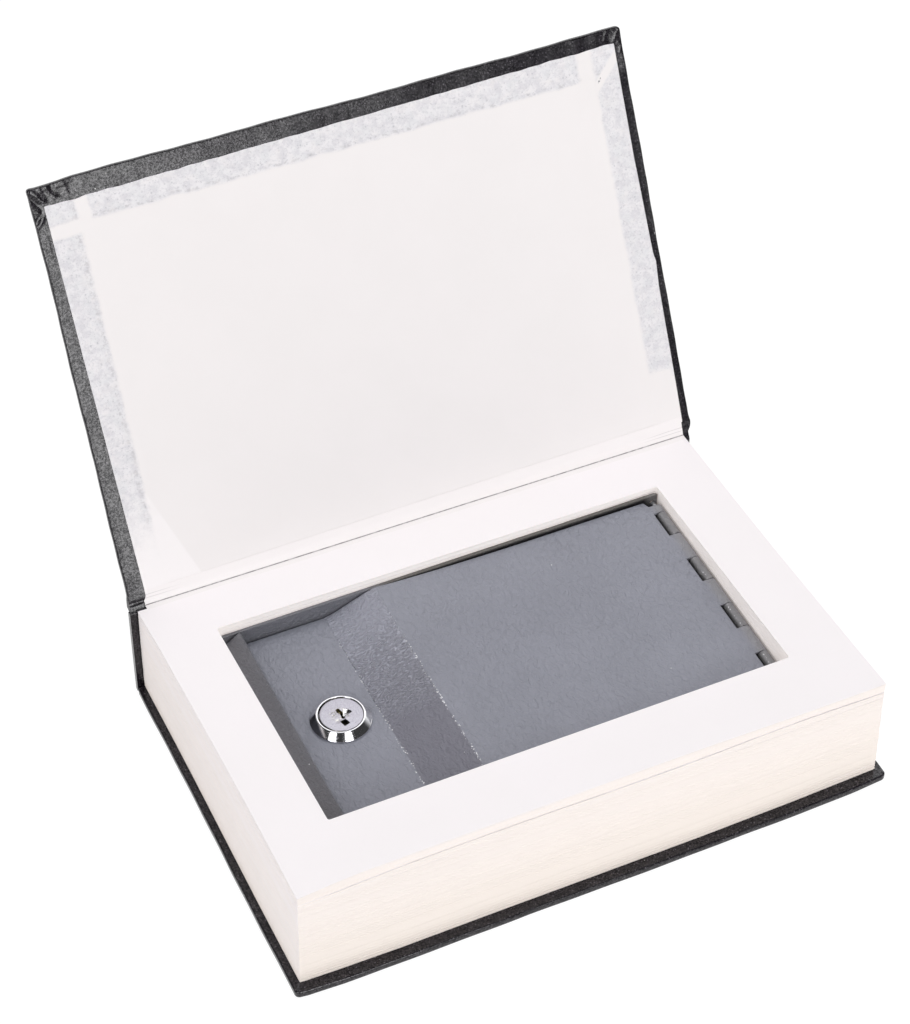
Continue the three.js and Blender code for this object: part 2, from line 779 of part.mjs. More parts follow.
addPiece(book, 'back_cover_cloth', backCover.wrap, leatherette);
addPiece(book, 'back_board', backCover.board, greyboard);
addPiece(book, 'back_endpaper', backCover.pasted, paper);
addPiece(book, 'spine_cloth', spineCloth, leatherette);
addPiece(book, 'spine_board', spineBoard, greyboard);
addPiece(book, 'spine_lining', spineLining, lining);
addPiece(book, 'front_joint_cloth', frontJoint, leatherette);
addPiece(book, 'lower_leaves', lowerLeaves, paperEdge);
addPiece(book, 'page_block', pageBlock, paperEdge);
addPiece(book, 'inner_leaves', innerLeaves, paperEdge);
addPiece(book, 'upper_leaves', upperLeaves, paperEdge);
addPiece(book, 'front_flyleaf', flyleaf, paper);
addPiece(book, 'box_tray', makeTray(), hammerPaint);
addPiece(book, 'lock_strike', strike, zincSteel);
addPiece(book, 'hinge_pin', hingePin, zincSteel);
addPiece(book, 'box_lid', makeLid(), hammerPaint);
addPiece(book, 'lock_housing', makeHousing(), chrome);
addPiece(book, 'lock_washer', makeLockWasher(), zincSteel);
addPiece(book, 'lock_nut', makeLockNut(), zincSteel);
addPiece(book, 'lock_plug', makePlug(), chrome);
addPiece(book, 'lock_cam', makeCam(), zincSteel);
addPiece(book, 'cam_washer', makeCamWasher(), zincSteel);
addPiece(book, 'cam_screw', makeCamScrew(), zincSteel);
for (let i = 0; i < waferCount; i++) {
  addPiece(book, `lock_wafer_${i + 1}`, makeWafer(i), brass);
  addPiece(book, `wafer_spring_${i + 1}`, makeWaferSpring(i), zincSteel);
}

const openCover = new THREE.Group();
openCover.position.set(0, jointY, jointZ);
openCover.rotation.x = -coverOpenAngle;
addPiece(openCover, 'front_cover_cloth', frontCover.wrap, leatherette);
addPiece(openCover, 'front_board', frontCover.board, greyboard);
addPiece(openCover, 'front_pastedown', frontCover.pasted, paper);
book.add(openCover);

export default book;
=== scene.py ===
"""Looks for the book with a steel box in its pages: the photo's camera, studio light and dressed pieces."""

import math

import bmesh
import bpy
import numpy as np
from mathutils import Matrix, Vector


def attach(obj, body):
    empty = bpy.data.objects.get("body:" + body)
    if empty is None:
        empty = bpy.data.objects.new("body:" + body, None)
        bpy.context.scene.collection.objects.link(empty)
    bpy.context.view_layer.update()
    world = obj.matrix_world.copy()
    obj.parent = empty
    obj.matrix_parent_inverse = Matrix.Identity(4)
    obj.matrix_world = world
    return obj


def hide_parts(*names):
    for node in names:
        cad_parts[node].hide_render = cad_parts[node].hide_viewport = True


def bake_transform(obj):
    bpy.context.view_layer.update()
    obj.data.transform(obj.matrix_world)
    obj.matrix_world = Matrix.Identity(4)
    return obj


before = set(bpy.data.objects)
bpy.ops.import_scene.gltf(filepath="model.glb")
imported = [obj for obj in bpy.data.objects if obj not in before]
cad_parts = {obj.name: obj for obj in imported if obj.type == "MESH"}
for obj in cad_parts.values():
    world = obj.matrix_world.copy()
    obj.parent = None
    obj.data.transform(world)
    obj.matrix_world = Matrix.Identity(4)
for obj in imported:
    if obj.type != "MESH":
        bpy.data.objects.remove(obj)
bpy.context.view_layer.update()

MM = 0.001
SCENE = bpy.context.scene

# Sizes in millimetres, the same as the CAD's
PAGE_X = 114.5
PAGE_Y = 76.2
LEAVES_BASE = 3.0
LOWER_LEAVES_TOP = 6.0
FORE_HEIGHT = 43.9
SPINE_HEIGHT = 40.0
FORE_GAIN = 0.4
SPINE_LOSS = 2.5
COVER_X = 117.25
COVER_FORE_Y = -80.25
COVER_THICKNESS = 2.9
JOINT_Y = 79.3
JOINT_Z = 43.5
OPEN_ANGLE = math.radians(116.85)
COVER_TIP = 159.55
WINDOW = (-91.0, 91.0, -48.0, 55.6)
WINDOW_RADIUS = 0.9
LID_TOP = 37.6
SHELF_TOP = 32.8
SHEET = 1.2
LID_LEFT = -82.0
RAMP = (-49.4, -28.4)
GUTTER_DEPTH = 0.9
HINGE_X = 88.4
HINGE_Z = 35.3
SLOT_ROOT = 85.1
LID_Y = (-45.7, 53.3)
LID_NOTCH_Y = 50.5
SLOTS = ((46.3, 33.3), (19.5, 6.5), (-7.3, -20.3), (-34.1, -45.7))
LOCK_X = -64.1
LOCK_Y = 3.8
HEAD_TOP = 36.0
BARREL_BOTTOM = 17.5
GROOVE = (22.25, 32.65)
FACE_TOP = 35.85
FACE_BOTTOM = 34.25
FACE_RADIUS = 7.98
KEYWAY_DEPTH = 1.5

# The camera's level direction to its right, as x and y
VIEW_RIGHT = (0.906, -0.423)


def page_top(x, y):
    """Height of the page surface in millimetres."""
    u = (x + PAGE_X) / (2 * PAGE_X)
    v = (y + PAGE_Y) / (2 * PAGE_Y)
    fore = FORE_HEIGHT + FORE_GAIN * u
    spine = SPINE_HEIGHT - SPINE_LOSS * u
    return LEAVES_BASE + fore + (spine - fore) * v


def waves(seed, count, short, long):
    """A smooth function of x and y with a spread of about 1, made of sines of those lengths in millimetres."""
    rng = np.random.default_rng(seed)
    angle = rng.uniform(0, 2 * math.pi, count)
    length = np.exp(rng.uniform(math.log(short), math.log(long), count))
    phase = rng.uniform(0, 2 * math.pi, count)
    kx = np.cos(angle) * 2 * math.pi / length
    ky = np.sin(angle) * 2 * math.pi / length

    def value(x, y):
        x, y = np.broadcast_arrays(np.asarray(x, float), np.asarray(y, float))
        return np.sin(x[..., None] * kx + y[..., None] * ky + phase).sum(-1) / math.sqrt(count / 2)

    return value


def curve(*points):
    """A function that runs straight from one (place, value) point to the next."""
    places, values = zip(*points)
    return lambda place: np.interp(place, places, values)


def smoothstep(low, high, value):
    t = np.clip((value - low) / (high - low), 0, 1)
    return t * t * (3 - 2 * t)


def ridge(x, y, x0, y0, x1, y1, width, height):
    """A crease from one point to the other: a rounded ridge that fades at its ends."""
    dx, dy = x1 - x0, y1 - y0
    t = ((x - x0) * dx + (y - y0) * dy) / (dx * dx + dy * dy)
    inside = np.clip(t, 0, 1)
    distance = np.hypot(x - x0 - inside * dx, y - y0 - inside * dy)
    fade = np.clip(np.minimum(t, 1 - t) * 4 + 0.4, 0, 1)
    return height * fade * np.exp(-((distance / width) ** 2))


# Meshes


def new_object(name, verts, faces, material, smooth=35):
    """A mesh object from vertices in millimetres."""
    mesh = bpy.data.meshes.new(name)
    mesh.from_pydata((np.asarray(verts, float) * MM).tolist(), [], [list(map(int, f)) for f in faces])
    mesh.update()
    obj = bpy.data.objects.new(name, mesh)
    SCENE.collection.objects.link(obj)
    mesh.materials.append(material)
    soften(obj, smooth)
    return obj


def soften(obj, angle):
    """Smooth shading, with edges sharper than the angle kept."""
    mesh = obj.data
    mesh.polygons.foreach_set("use_smooth", [True] * len(mesh.polygons))
    mesh.set_sharp_from_angle(angle=math.radians(angle))
    mesh.update()


def fix_normals(obj):
    bm = bmesh.new()
    bm.from_mesh(obj.data)
    bmesh.ops.recalc_face_normals(bm, faces=bm.faces)
    bm.to_mesh(obj.data)
    bm.free()
    obj.data.update()


def quads(rows, cols, wrap_rows=False, wrap_cols=False, start=0, flip=False):
    """Quads of a grid of vertices kept row by row."""
    faces = []
    for r in range(rows if wrap_rows else rows - 1):
        for c in range(cols if wrap_cols else cols - 1):
            a = start + r * cols + c
            b = start + r * cols + (c + 1) % cols
            d = start + ((r + 1) % rows) * cols + c
            e = start + ((r + 1) % rows) * cols + (c + 1) % cols
            faces.append((a, d, e, b) if flip else (a, b, e, d))
    return faces


def slab(xs, ys, corner, roll, low, high, levels=()):
    """A plate over a grid of x and y lines, with rounded corners in plan and rounded edges.
    The lines run from edge to edge. Returns vertices and faces, the top grid first."""
    xs, ys = xs.copy(), ys.copy()
    for along in (xs, ys):
        along[0] += roll
        along[-1] -= roll
    radius = max(corner - roll, 0.01)
    x, y = np.meshgrid(xs, ys, indexing="ij")

    def local(value, lo, hi):
        near_low = (value - lo - radius) / radius
        near_high = (value - hi + radius) / radius
        return np.where(value < lo + radius, near_low, np.where(value > hi - radius, near_high, 0.0))

    a = local(x, xs[0], xs[-1])
    b = local(y, ys[0], ys[-1])
    nx = a * np.sqrt(1 - b * b / 2)
    ny = b * np.sqrt(1 - a * a / 2)
    flat_x = (x + radius * (nx - a)).ravel()
    flat_y = (y + radius * (ny - b)).ravel()
    rows, cols = len(xs), len(ys)
    loop = [i * cols for i in range(rows - 1)]
    loop += [(rows - 1) * cols + j for j in range(cols - 1)]
    loop += [i * cols + cols - 1 for i in range(rows - 1, 0, -1)]
    loop += list(range(cols - 1, 0, -1))
    steps = 4
    turns = [k / steps * math.pi / 2 for k in range(1, steps + 1)]
    rings = [(roll * math.sin(turn), high - roll * (1 - math.cos(turn))) for turn in turns]
    rings += [(roll + push, level) for push, level in levels]
    rings += [(roll * math.sin(turn), low + roll * (1 - math.cos(turn))) for turn in reversed(turns)]
    parts = [np.column_stack([flat_x, flat_y, np.full(flat_x.size, high)])]
    for push, level in rings:
        edge_x = flat_x[loop] + nx.ravel()[loop] * push
        edge_y = flat_y[loop] + ny.ravel()[loop] * push
        parts.append(np.column_stack([edge_x, edge_y, np.full(len(loop), level)]))
    parts.append(np.column_stack([flat_x, flat_y, np.full(flat_x.size, low)]))
    faces = quads(rows, cols, flip=True)
    count = len(loop)
    starts = flat_x.size + count * np.arange(len(rings) + 1)
    edge = np.array(loop)
    circles = [edge, *(np.arange(count) + start for start in starts[:-1]), edge + starts[-1]]
    for above, below in zip(circles[:-1], circles[1:]):
        for k in range(count):
            m = (k + 1) % count
            faces.append((above[k], below[k], below[m], above[m]))
    faces += quads(rows, cols, start=starts[-1])
    return np.vstack(parts), faces


def lines(start, end, fine, coarse, margin):
    """Positions from start to end, with fine steps within the margin of each end and coarse steps between."""
    head = np.arange(start, start + margin, fine)
    middle = np.linspace(start + margin, end - margin, max(int((end - start - 2 * margin) / coarse), 2))
    tail = end - (head - start)[::-1]
    return np.concatenate([head, middle, tail])


def turned(profile, sides):
    """Vertices and faces of a closed profile of (radius, height) turned about Z."""
    angles = np.arange(sides) / sides * 2 * math.pi
    verts = [(r * math.cos(angle), r * math.sin(angle), height) for r, height in profile for angle in angles]
    return np.array(verts), quads(len(profile), sides, wrap_rows=True, wrap_cols=True)


# Materials


def operator(operation):
    """A method for an operator between a Value and a number or another Value."""
    return lambda value, other=0.0: value.math(operation, other)


class Value:
    """A node's output. Arithmetic on it adds nodes, and | is the larger of two."""

    __add__ = operator("ADD")
    __sub__ = operator("SUBTRACT")
    __mul__ = operator("MULTIPLY")
    __pow__ = operator("POWER")
    __or__ = operator("MAXIMUM")
    __gt__ = operator("GREATER_THAN")
    __abs__ = operator("ABSOLUTE")

    def __init__(self, node, output=0):
        self.socket = node.outputs[output]
        self.tree = node.id_data

    def math(self, operation, other=0.0, swapped=False):
        a, b = (other, self) if swapped else (self, other)
        return Value(add(self.tree, "Math", {0: a, 1: b}, operation=operation))

    def __rsub__(self, other):
        return self.math("SUBTRACT", other, swapped=True)

    def ramp(self, low, high, start=0.0, end=1.0):
        """Runs smoothly from start to end while this goes from low to high."""
        inputs = {0: self, 1: low, 2: high, 3: start, 4: end}
        return Value(add(self.tree, "MapRange", inputs, interpolation_type="SMOOTHSTEP"))

    def band(self, centre, half, soft):
        """1 within half of the centre, fading to 0 over soft."""
        return abs(self - centre).ramp(half, half + soft, 1.0, 0.0)

    def mix(self, a, b):
        """The colour a where this is 0, and b where it is 1."""
        return Value(add(self.tree, "Mix", {0: self, 6: a, 7: b}, data_type="RGBA"), 2)

    def choose(self, a, b):
        """The shader a where this is 0, and b where it is 1."""
        return Value(add(self.tree, "MixShader", {0: self, 1: a, 2: b}))

    def split(self):
        """The three parts of a vector or colour."""
        node = add(self.tree, "SeparateXYZ", {0: self})
        return [Value(node, k) for k in range(3)]


def add(tree, kind, inputs=None, **properties):
    """A shader node with its properties set and its inputs given as numbers, colours or Values."""
    node = tree.nodes.new("ShaderNode" + kind)
    for key, value in properties.items():
        setattr(node, key, value)
    for key, value in (inputs or {}).items():
        socket = node.inputs[key]
        if isinstance(value, Value):
            tree.links.new(value.socket, socket)
        else:
            socket.default_value = (*value, 1) if socket.type == "RGBA" else value
    return node


def new_tree(owner):
    """The empty node tree of a new material or world."""
    owner.use_nodes = True
    owner.node_tree.nodes.clear()
    return owner.node_tree


class Paint:
    """A material in the making. Lengths on it are in millimetres."""

    def __init__(self, name, color, roughness, metallic=0.0, specular=0.5):
        self.material = bpy.data.materials.new(name)
        self.material.diffuse_color = (*color, 1)
        self.tree = new_tree(self.material)
        inputs = {"Base Color": color, "Roughness": roughness, "Metallic": metallic}
        inputs["Specular IOR Level"] = specular
        self.shader = add(self.tree, "BsdfPrincipled", inputs)
        add(self.tree, "OutputMaterial", {0: Value(self.shader)})
        self.x, self.y, self.z = self.spot().split()

    def spot(self, stretch=(1, 1, 1), offset=(0, 0, 0)):
        """The place on the object, stretched and moved."""
        source = Value(add(self.tree, "TexCoord"), "Object")
        inputs = {"Vector": source, "Scale": [s / MM for s in stretch], "Location": offset}
        return Value(add(self.tree, "Mapping", inputs))

    def noise(self, scale, detail=3, roughness=0.55, distortion=0.0, **spot):
        """Cloudy numbers between 0 and 1, about as many clouds to a millimetre as the scale."""
        inputs = {"Scale": scale, "Detail": detail, "Roughness": roughness, "Distortion": distortion}
        return Value(add(self.tree, "TexNoise", {"Vector": self.spot(**spot), **inputs}))

    def dots(self, scale):
        """The distance to the nearest of many scattered dots, and three random numbers for that dot."""
        node = add(self.tree, "TexVoronoi", {"Vector": self.spot(), "Scale": scale})
        return Value(node, "Distance"), Value(node, "Color").split()

    def specks(self, scale, rarity, inner, outer, channel=0):
        """Scattered specks: 1 up to the inner radius and 0 from the outer, at some of the dots."""
        near, pick = self.dots(scale)
        return (pick[channel] > rarity) * near.ramp(inner, outer, 1.0, 0.0)

    def link(self, name, value):
        self.tree.links.new(value.socket, self.shader.inputs[name])

    def finish(self, color, height, strength, depth, edge=None, roughness=None):
        """The material with its colour and bumps, and with corners that look rounded by the edge's radius."""
        bump = {"Height": height, "Strength": strength, "Distance": depth * MM}
        if edge:
            bump["Normal"] = Value(add(self.tree, "Bevel", {"Radius": edge * MM}, samples=4))
        self.link("Normal", Value(add(self.tree, "Bump", bump)))
        self.link("Base Color", color)
        if roughness:
            self.link("Roughness", roughness)
        return self.material


def make_leatherette():
    """Black coated bookcloth with a fine grain, painted glints at scattered specks, and a little white dust."""
    paint = Paint("leatherette", (0.016, 0.0155, 0.017), 0.2, specular=0.55)
    grain = paint.noise(1.5, 3, 0.75)
    fine = paint.noise(3.0, 2, 0.7)
    color = paint.noise(0.35, 2).ramp(0.35, 0.7).mix((0.0082, 0.0072, 0.0094), (0.0143, 0.0127, 0.0158))
    color = grain.ramp(0.5, 0.66, 0.0, 0.5).mix(color, (0.053, 0.043, 0.057))
    # Painted glints: lighter specks at some of the grain's dots.
    color = paint.specks(0.95, 0.66, 0.16, 0.3).mix(color, (0.088, 0.08, 0.094))
    color = paint.specks(0.22, 0.72, 0.03, 0.07).mix(color, (0.62, 0.61, 0.6))
    paint.link("Specular IOR Level", grain.ramp(0.36, 0.64, 0.16, 0.62))
    return paint.finish(color, grain + fine * 0.3, 0.35, 0.07, roughness=fine.ramp(0.3, 0.7, 0.11, 0.17))


def make_paper(name, color, shade):
    """Smooth uncoated paper with a faint fibre and a slow change of tone."""
    paint = Paint(name, color, 0.85, specular=0.08)
    fine = paint.noise(2.2, 4, 0.7)
    tone = paint.noise(0.02, 2).ramp(0.35, 0.65).mix(color, shade)
    tone = fine.ramp(0.35, 0.7, 0.0, 0.12).mix(tone, [0.9 * c for c in shade])
    return paint.finish(tone, fine, 0.25, 0.03)


def make_fold_paper():
    """The end paper, with painted shade in the crease of the gutter, and with faint rubbed lines above it at
    both ends.
    """
    light = (0.905, 0.868, 0.87)
    paint = Paint("fold_paper", light, 0.85, specular=0.08)
    fine = paint.noise(2.2, 4, 0.7)
    tone = fine.ramp(0.35, 0.7, 0.0, 0.12).mix(light, (0.81, 0.78, 0.78))
    gutter_top = page_top(0, PAGE_Y) - paint.x * (SPINE_LOSS / (2 * PAGE_X))
    rise = paint.z - gutter_top
    broken = paint.noise(1.0, 2, stretch=(0.3, 0.0, 0.0)).ramp(0.3, 0.6, 0.45, 0.95)
    # Painted shade: the crease of the gutter darkened where it runs down towards the pages.
    crease = paint.y.band(78.1, 0.1, 0.1) * rise.ramp(0.25, 0.45, 1.0, 0.0) * broken
    tone = crease.mix(tone, (0.25, 0.23, 0.23))
    rub = rise.band(1.75, 0.05, 0.12) | rise.band(2.9, 0.04, 0.12)
    rub = rub * abs(paint.x).ramp(94.0, 107.0) * 0.5
    return paint.finish(rub.mix(tone, (0.5, 0.48, 0.48)), fine, 0.25, 0.03)


def make_page_edges(name, light, dark, line_strength, glow=0.0):
    """Trimmed edges of many leaves: thin level lines that run round the block, with a few darker gaps, and a
    glow that is painted light.
    """
    paint = Paint(name, light, 0.9, specular=0.08)
    leaf = paint.noise(3.4, 3, 0.7, stretch=(0.02, 0.02, 1.0))
    groups = paint.noise(0.8, 3, 0.6, stretch=(0.006, 0.006, 1.0), offset=(3, 7, 1))
    foot = [c * f for c, f in zip(light, (0.985, 0.975, 0.945))]
    color = paint.z.ramp(LEAVES_BASE, 40.0).mix(foot, light)
    color = leaf.ramp(0.42, 0.75, 0.0, line_strength).mix(color, dark)
    color = groups.ramp(0.56, 0.75, 0.0, line_strength * 0.8).mix(color, dark)
    # Painted light: a faint glow that brightens the surface; only the window's walls get one.
    paint.shader.inputs["Emission Color"].default_value = (1.0, 0.9, 0.84, 1.0)
    paint.shader.inputs["Emission Strength"].default_value = glow
    return paint.finish(color, leaf, 0.3, 0.06)


def make_pastedown():
    """White paper pasted over the board and turn-ins, with grey mottled glue marks over the turn-ins and a
    painted highlight on the facet beside the lower left crease.
    """
    plain = (0.875, 0.84, 0.84)
    paint = Paint("pasted_paper", plain, 0.8, specular=0.04)
    x, u = paint.x, paint.y
    wobble = (paint.noise(0.12, 3) - 0.5) * 2.2
    x_in, u_in = x + wobble, u + wobble
    above = u_in - (144.6 - (x + 100.0) * 0.006)
    torn = u + paint.noise(0.11, 3) * 26.0
    left = x_in.ramp(-101.5, -99.5, 1.0, 0.0) * torn.ramp(27.0, 54.0)
    right = x_in.ramp(103.9, 105.7) * torn.ramp(34.0, 40.0)
    side_gaps = x_in.band(-98.0, 1.7, 1.5) | x_in.band(101.6, 1.9, 2.4)
    top = above.ramp(-0.8, 0.8) * (1.0 - side_gaps)
    top_gap = u_in.band(143.0, 1.8, 1.6) * x.ramp(-100.0, -95.0, 1.0, 0.0)
    mitre = (u - x).band(35.2, 1.5, 1.7) * x.ramp(103.5, 105.0)
    mark = (left | right | top) * (1.0 - top_gap) * (1.0 - mitre)
    mark = mark * paint.noise(0.2, 3, 0.6).ramp(0.3, 0.52, 0.62, 1.0)
    small = paint.noise(0.95, 4, 0.8)
    tone = paint.noise(0.3, 4, 0.7).ramp(0.4, 0.62).mix((0.825, 0.806, 0.825), (0.71, 0.692, 0.722))
    tone = paint.noise(0.16, 3, 0.6).ramp(0.45, 0.65, 0.0, 0.5).mix(tone, (0.75, 0.75, 0.768))
    tone = small.ramp(0.52, 0.66, 0.0, 0.75).mix(tone, (0.55, 0.536, 0.566))
    rim = x_in.band(-101.7, 0.5, 0.8) | above.band(0.9, 0.3, 0.5)
    rim = rim * paint.noise(0.42, 3, 0.7).ramp(0.47, 0.62, 0.0, 0.75)
    tone = rim.mix(tone, (0.58, 0.56, 0.58))
    tone = (paint.specks(0.42, 0.6, 0.08, 0.2, 1) * 0.5).mix(tone, (0.42, 0.42, 0.46))
    base = paint.noise(0.03, 2).ramp(0.4, 0.6).mix(plain, (0.868, 0.834, 0.833))
    # Painted highlight: the facet to the left of the lower left crease made lighter.
    facet_highlight = (u * 0.378 + x).ramp(-85.5, -84.5, 1.0, 0.0) * torn.ramp(44.0, 60.0, 1.0, 0.0)
    color = mark.mix(facet_highlight.mix(base, (0.915, 0.88, 0.885)), tone)
    spot = (u - x).band(35.9, 0.3, 0.3) * x.band(106.4, 0.5, 0.3)
    color = (spot * small.ramp(0.45, 0.55)).mix(color, (0.2, 0.2, 0.22))
    return paint.finish(color, paint.noise(2.0, 4, 0.7) * 0.3 + small * mark, 0.4, 0.06)


def start_hammer_paint(name):
    """Grey hammered paint: the material, its shallow orange peel and its colour."""
    paint = Paint(name, (0.19, 0.195, 0.225), 0.4)
    peel = paint.noise(0.62, 3, 0.55, 0.8, stretch=(1.0, 0.6, 1.0))
    color = paint.noise(0.03, 2).ramp(0.35, 0.65).mix((0.224, 0.23, 0.272), (0.24, 0.246, 0.291))
    color = peel.ramp(0.5, 0.8, 0.0, 0.25).mix(color, (0.25, 0.256, 0.295))
    color = paint.y.ramp(10.0, 50.0, 0.0, 0.3).mix(color, (0.275, 0.283, 0.33))
    return paint, peel * 1.1, color


def wear_paint(paint, color, chips):
    """The colour, rubbed at the hinge end, with bright chips in the places given and a few more anywhere."""
    color = paint.x.ramp(84.5, 88.0, 0.0, 0.55).mix(color, (0.27, 0.262, 0.262))
    return (chips | paint.specks(0.13, 0.86, 0.018, 0.035)).mix(color, (0.85, 0.85, 0.88))


def shade_low_end(paint, color):
    """The colour, with painted shade at the front of the lock's end."""
    low_end = paint.y.ramp(-46.0, -10.0, 0.35, 0.0) * paint.x.ramp(-50.0, -30.0, 1.0, 0.2)
    return low_end.mix(color, (0.17, 0.172, 0.205))


def make_lid_paint():
    """Hammered paint, coarser at the back of the ramp with painted shade in its folds, and with chips along the
    ramp's bends.
    """
    paint, height, color = start_hammer_paint("hammer_paint")
    x, y = paint.x, paint.y
    coarse = paint.noise(1.05, 2, 0.5, 0.3, stretch=(0.6, 1.0, 1.0))
    on_ramp = x.band(0.5 * (RAMP[0] + RAMP[1]), 0.5 * (RAMP[1] - RAMP[0]) - 0.3, 0.6)
    rough_end = (y + coarse * 14.0).ramp(-2.0, 14.0)
    rough = on_ramp * rough_end
    color = (on_ramp * (1.0 - rough_end) * 0.75).mix(color, (0.142, 0.137, 0.169))
    pale = y.ramp(2.0, 40.0).mix((0.33, 0.33, 0.39), (0.452, 0.457, 0.54))
    pale = y.ramp(26.0, 44.0).mix(pale, (0.36, 0.365, 0.432))
    color = shade_low_end(paint, (rough * 0.75).mix(color, pale))
    bends_at = x + (paint.noise(0.35, 2) - 0.5) * 1.8
    bends = bends_at.band(RAMP[0], 0.3, 0.3) | bends_at.band(RAMP[1], 0.3, 0.3)
    broken = paint.noise(0.55, 3, 0.7).ramp(0.42, 0.5)
    near, _ = paint.dots(1.3)
    chips = bends * broken * near.ramp(0.25, 0.4, 1.0, 0.0) * y.ramp(30.0, 48.0, 1.0, 0.0)
    color = wear_paint(paint, color, chips)
    rough = rough * y.ramp(26.0, 44.0, 1.0, 0.4)
    folds = coarse.ramp(0.36, 0.64)
    # Painted shade: darker in the folds of the coarse paint.
    color = (folds * (rough * 0.55)).mix(color, (0.24, 0.24, 0.285))
    return paint.finish(color, height + folds * rough * 1.8, 0.8, 0.9, edge=0.3)


def make_tray_paint():
    """Hammered paint darkened all over by painted shade, most at the lock's end, with painted shade in the slit
    the lid's hinge end leaves and along the top of the back wall.
    """
    paint, height, color = start_hammer_paint("tray_paint")
    x, y, z = paint.x, paint.y, paint.z
    # Painted shade: the whole box's paint darkened, a little more at the lock's end.
    color = x.ramp(-84.0, -80.0, 0.5, 0.4).mix(shade_low_end(paint, color), (0.05, 0.044, 0.035))
    # Painted shade: near black in the slit behind the lid's hinge end.
    throat_shade = x.band(83.0, 3.3, 1.3) * z.ramp(24.0, 30.0)
    color = throat_shade.mix(color, (0.03, 0.03, 0.032))
    # Painted shade on the back wall's top beside the lid's raised part: near black at the lid's level, lighter
    # up to the wall's top.
    painted_rim_shade = z.ramp(37.8, 39.0).mix((0.012, 0.011, 0.012), (0.125, 0.118, 0.112))
    rim_shade_mask = x.ramp(-34.0, -20.0) * y.ramp(53.0, 53.8) * z.ramp(35.4, 37.2)
    near, _ = paint.dots(1.3)
    rub = x.band(87.6, 0.15, 0.2) * near.ramp(0.2, 0.32, 1.0, 0.0) * y.ramp(36.0, 30.0, 0.0, 1.0)
    return paint.finish(wear_paint(paint, rim_shade_mask.mix(color, painted_rim_shade), rub), height, 0.8, 0.9, edge=0.3)


def make_metal(name, color, dull, roughness, spread=0.08, scale=0.5, edge=0.15):
    """Bare or plated metal with a cloudy tone and fine marks."""
    paint = Paint(name, color, roughness, 1.0)
    fine = paint.noise(5.0, 3, 0.6, stretch=(1.0, 1.0, 0.15))
    tone = paint.noise(scale, 4, 0.65).ramp(0.35, 0.68).mix(color, dull)
    rough = fine.ramp(0.3, 0.7, max(roughness - spread, 0.02), roughness + spread)
    return paint.finish(tone, fine, 0.12, 0.02, edge, rough)


def make_plug_metal():
    """Satin chrome face, brass where the keyway is cut, with painted shade and a painted highlight on the
    keyway's walls.
    """
    face = (0.43, 0.42, 0.47)
    paint = Paint("lock_face", face, 0.28, 1.0)
    x, y, z = paint.x - LOCK_X, paint.y - LOCK_Y, paint.z
    fine = paint.noise(6.0, 3, 0.6, stretch=(0.3, 1.0, 1.0))
    tone = paint.noise(0.7, 4, 0.65).ramp(0.35, 0.68).mix(face, (0.39, 0.38, 0.425))
    # Painted shade and highlight in the keyway: dark near the face, greyer deeper, and one side of the fan
    # painted white.
    cut = z.ramp(34.9, 35.6).mix((0.3, 0.3, 0.31), (0.04, 0.04, 0.045))
    cut = (y * 0.735 - x * 0.677).ramp(-1.4265, -1.2265).mix(cut, (0.95, 0.95, 0.95))
    right = x * VIEW_RIGHT[0] + y * VIEW_RIGHT[1]
    cut = right.ramp(0.6, 1.0, 1.0, 0.0).mix(cut, (0.55, 0.5, 0.33))
    away = (x + 0.6) ** 2.0 + y**2.0
    scuffs = paint.noise(1.5, 3, 0.7).ramp(0.5, 0.58) * away.ramp(6.0, 18.0, 0.8, 0.0)
    hue = paint.noise(1.1, 2).ramp(0.45, 0.55).mix((0.2, 0.19, 0.15), (0.72, 0.71, 0.65))
    tone = z.ramp(35.62, 35.8, 1.0, 0.0).mix(scuffs.mix(tone, hue), cut)
    # Painted shade: near black at the bottom of the keyway.
    tone = z.ramp(34.5, 34.95, 1.0, 0.0).mix(tone, (0.02, 0.018, 0.014))
    return paint.finish(tone, fine, 0.1, 0.02, 0.18, fine.ramp(0.3, 0.7, 0.2, 0.34))


def make_mull():
    """Open-weave lining cloth."""
    paint = Paint("mull", (0.8, 0.76, 0.68), 0.95, specular=0.1)
    weave = (paint.x * 9.0).math("SINE") | (paint.z * 9.0).math("SINE")
    return paint.finish(weave.ramp(-0.2, 0.6).mix((0.55, 0.5, 0.42), (0.82, 0.78, 0.7)), weave, 0.4, 0.1)


leatherette = make_leatherette()
page_paper = make_paper("page_paper", (0.935, 0.895, 0.912), (0.925, 0.888, 0.9))
end_paper = make_paper("end_paper", (0.905, 0.868, 0.87), (0.9, 0.862, 0.862))
fold_paper = make_fold_paper()
page_edges = make_page_edges("page_edges", (0.94, 0.87, 0.832), (0.8, 0.72, 0.67), 0.08)
# The window's walls: a lighter copy of the page edges with a faint glow, painted light that brightens the
# walls.
page_walls_painted_bright = make_page_edges("page_walls_painted_bright", (0.99, 0.945, 0.925), (0.86, 0.81, 0.785), 0.08, 0.13)
page_ends = make_page_edges("page_ends", (0.945, 0.89, 0.888), (0.8, 0.74, 0.72), 0.06)
pasted_paper = make_pastedown()
lid_paint = make_lid_paint()
tray_paint = make_tray_paint()
zinc = make_metal("zinc_plate", (0.62, 0.63, 0.66), (0.5, 0.51, 0.54), 0.34)
spring_steel = make_metal("spring_steel", (0.5, 0.5, 0.52), (0.36, 0.36, 0.38), 0.3)
brass = make_metal("wafer_brass", (0.75, 0.58, 0.27), (0.6, 0.45, 0.2), 0.3)
chrome = make_metal("polished_chrome", (0.8, 0.8, 0.83), (0.7, 0.7, 0.73), 0.11, 0.04, 1.6, 0.1)
lock_face = make_plug_metal()
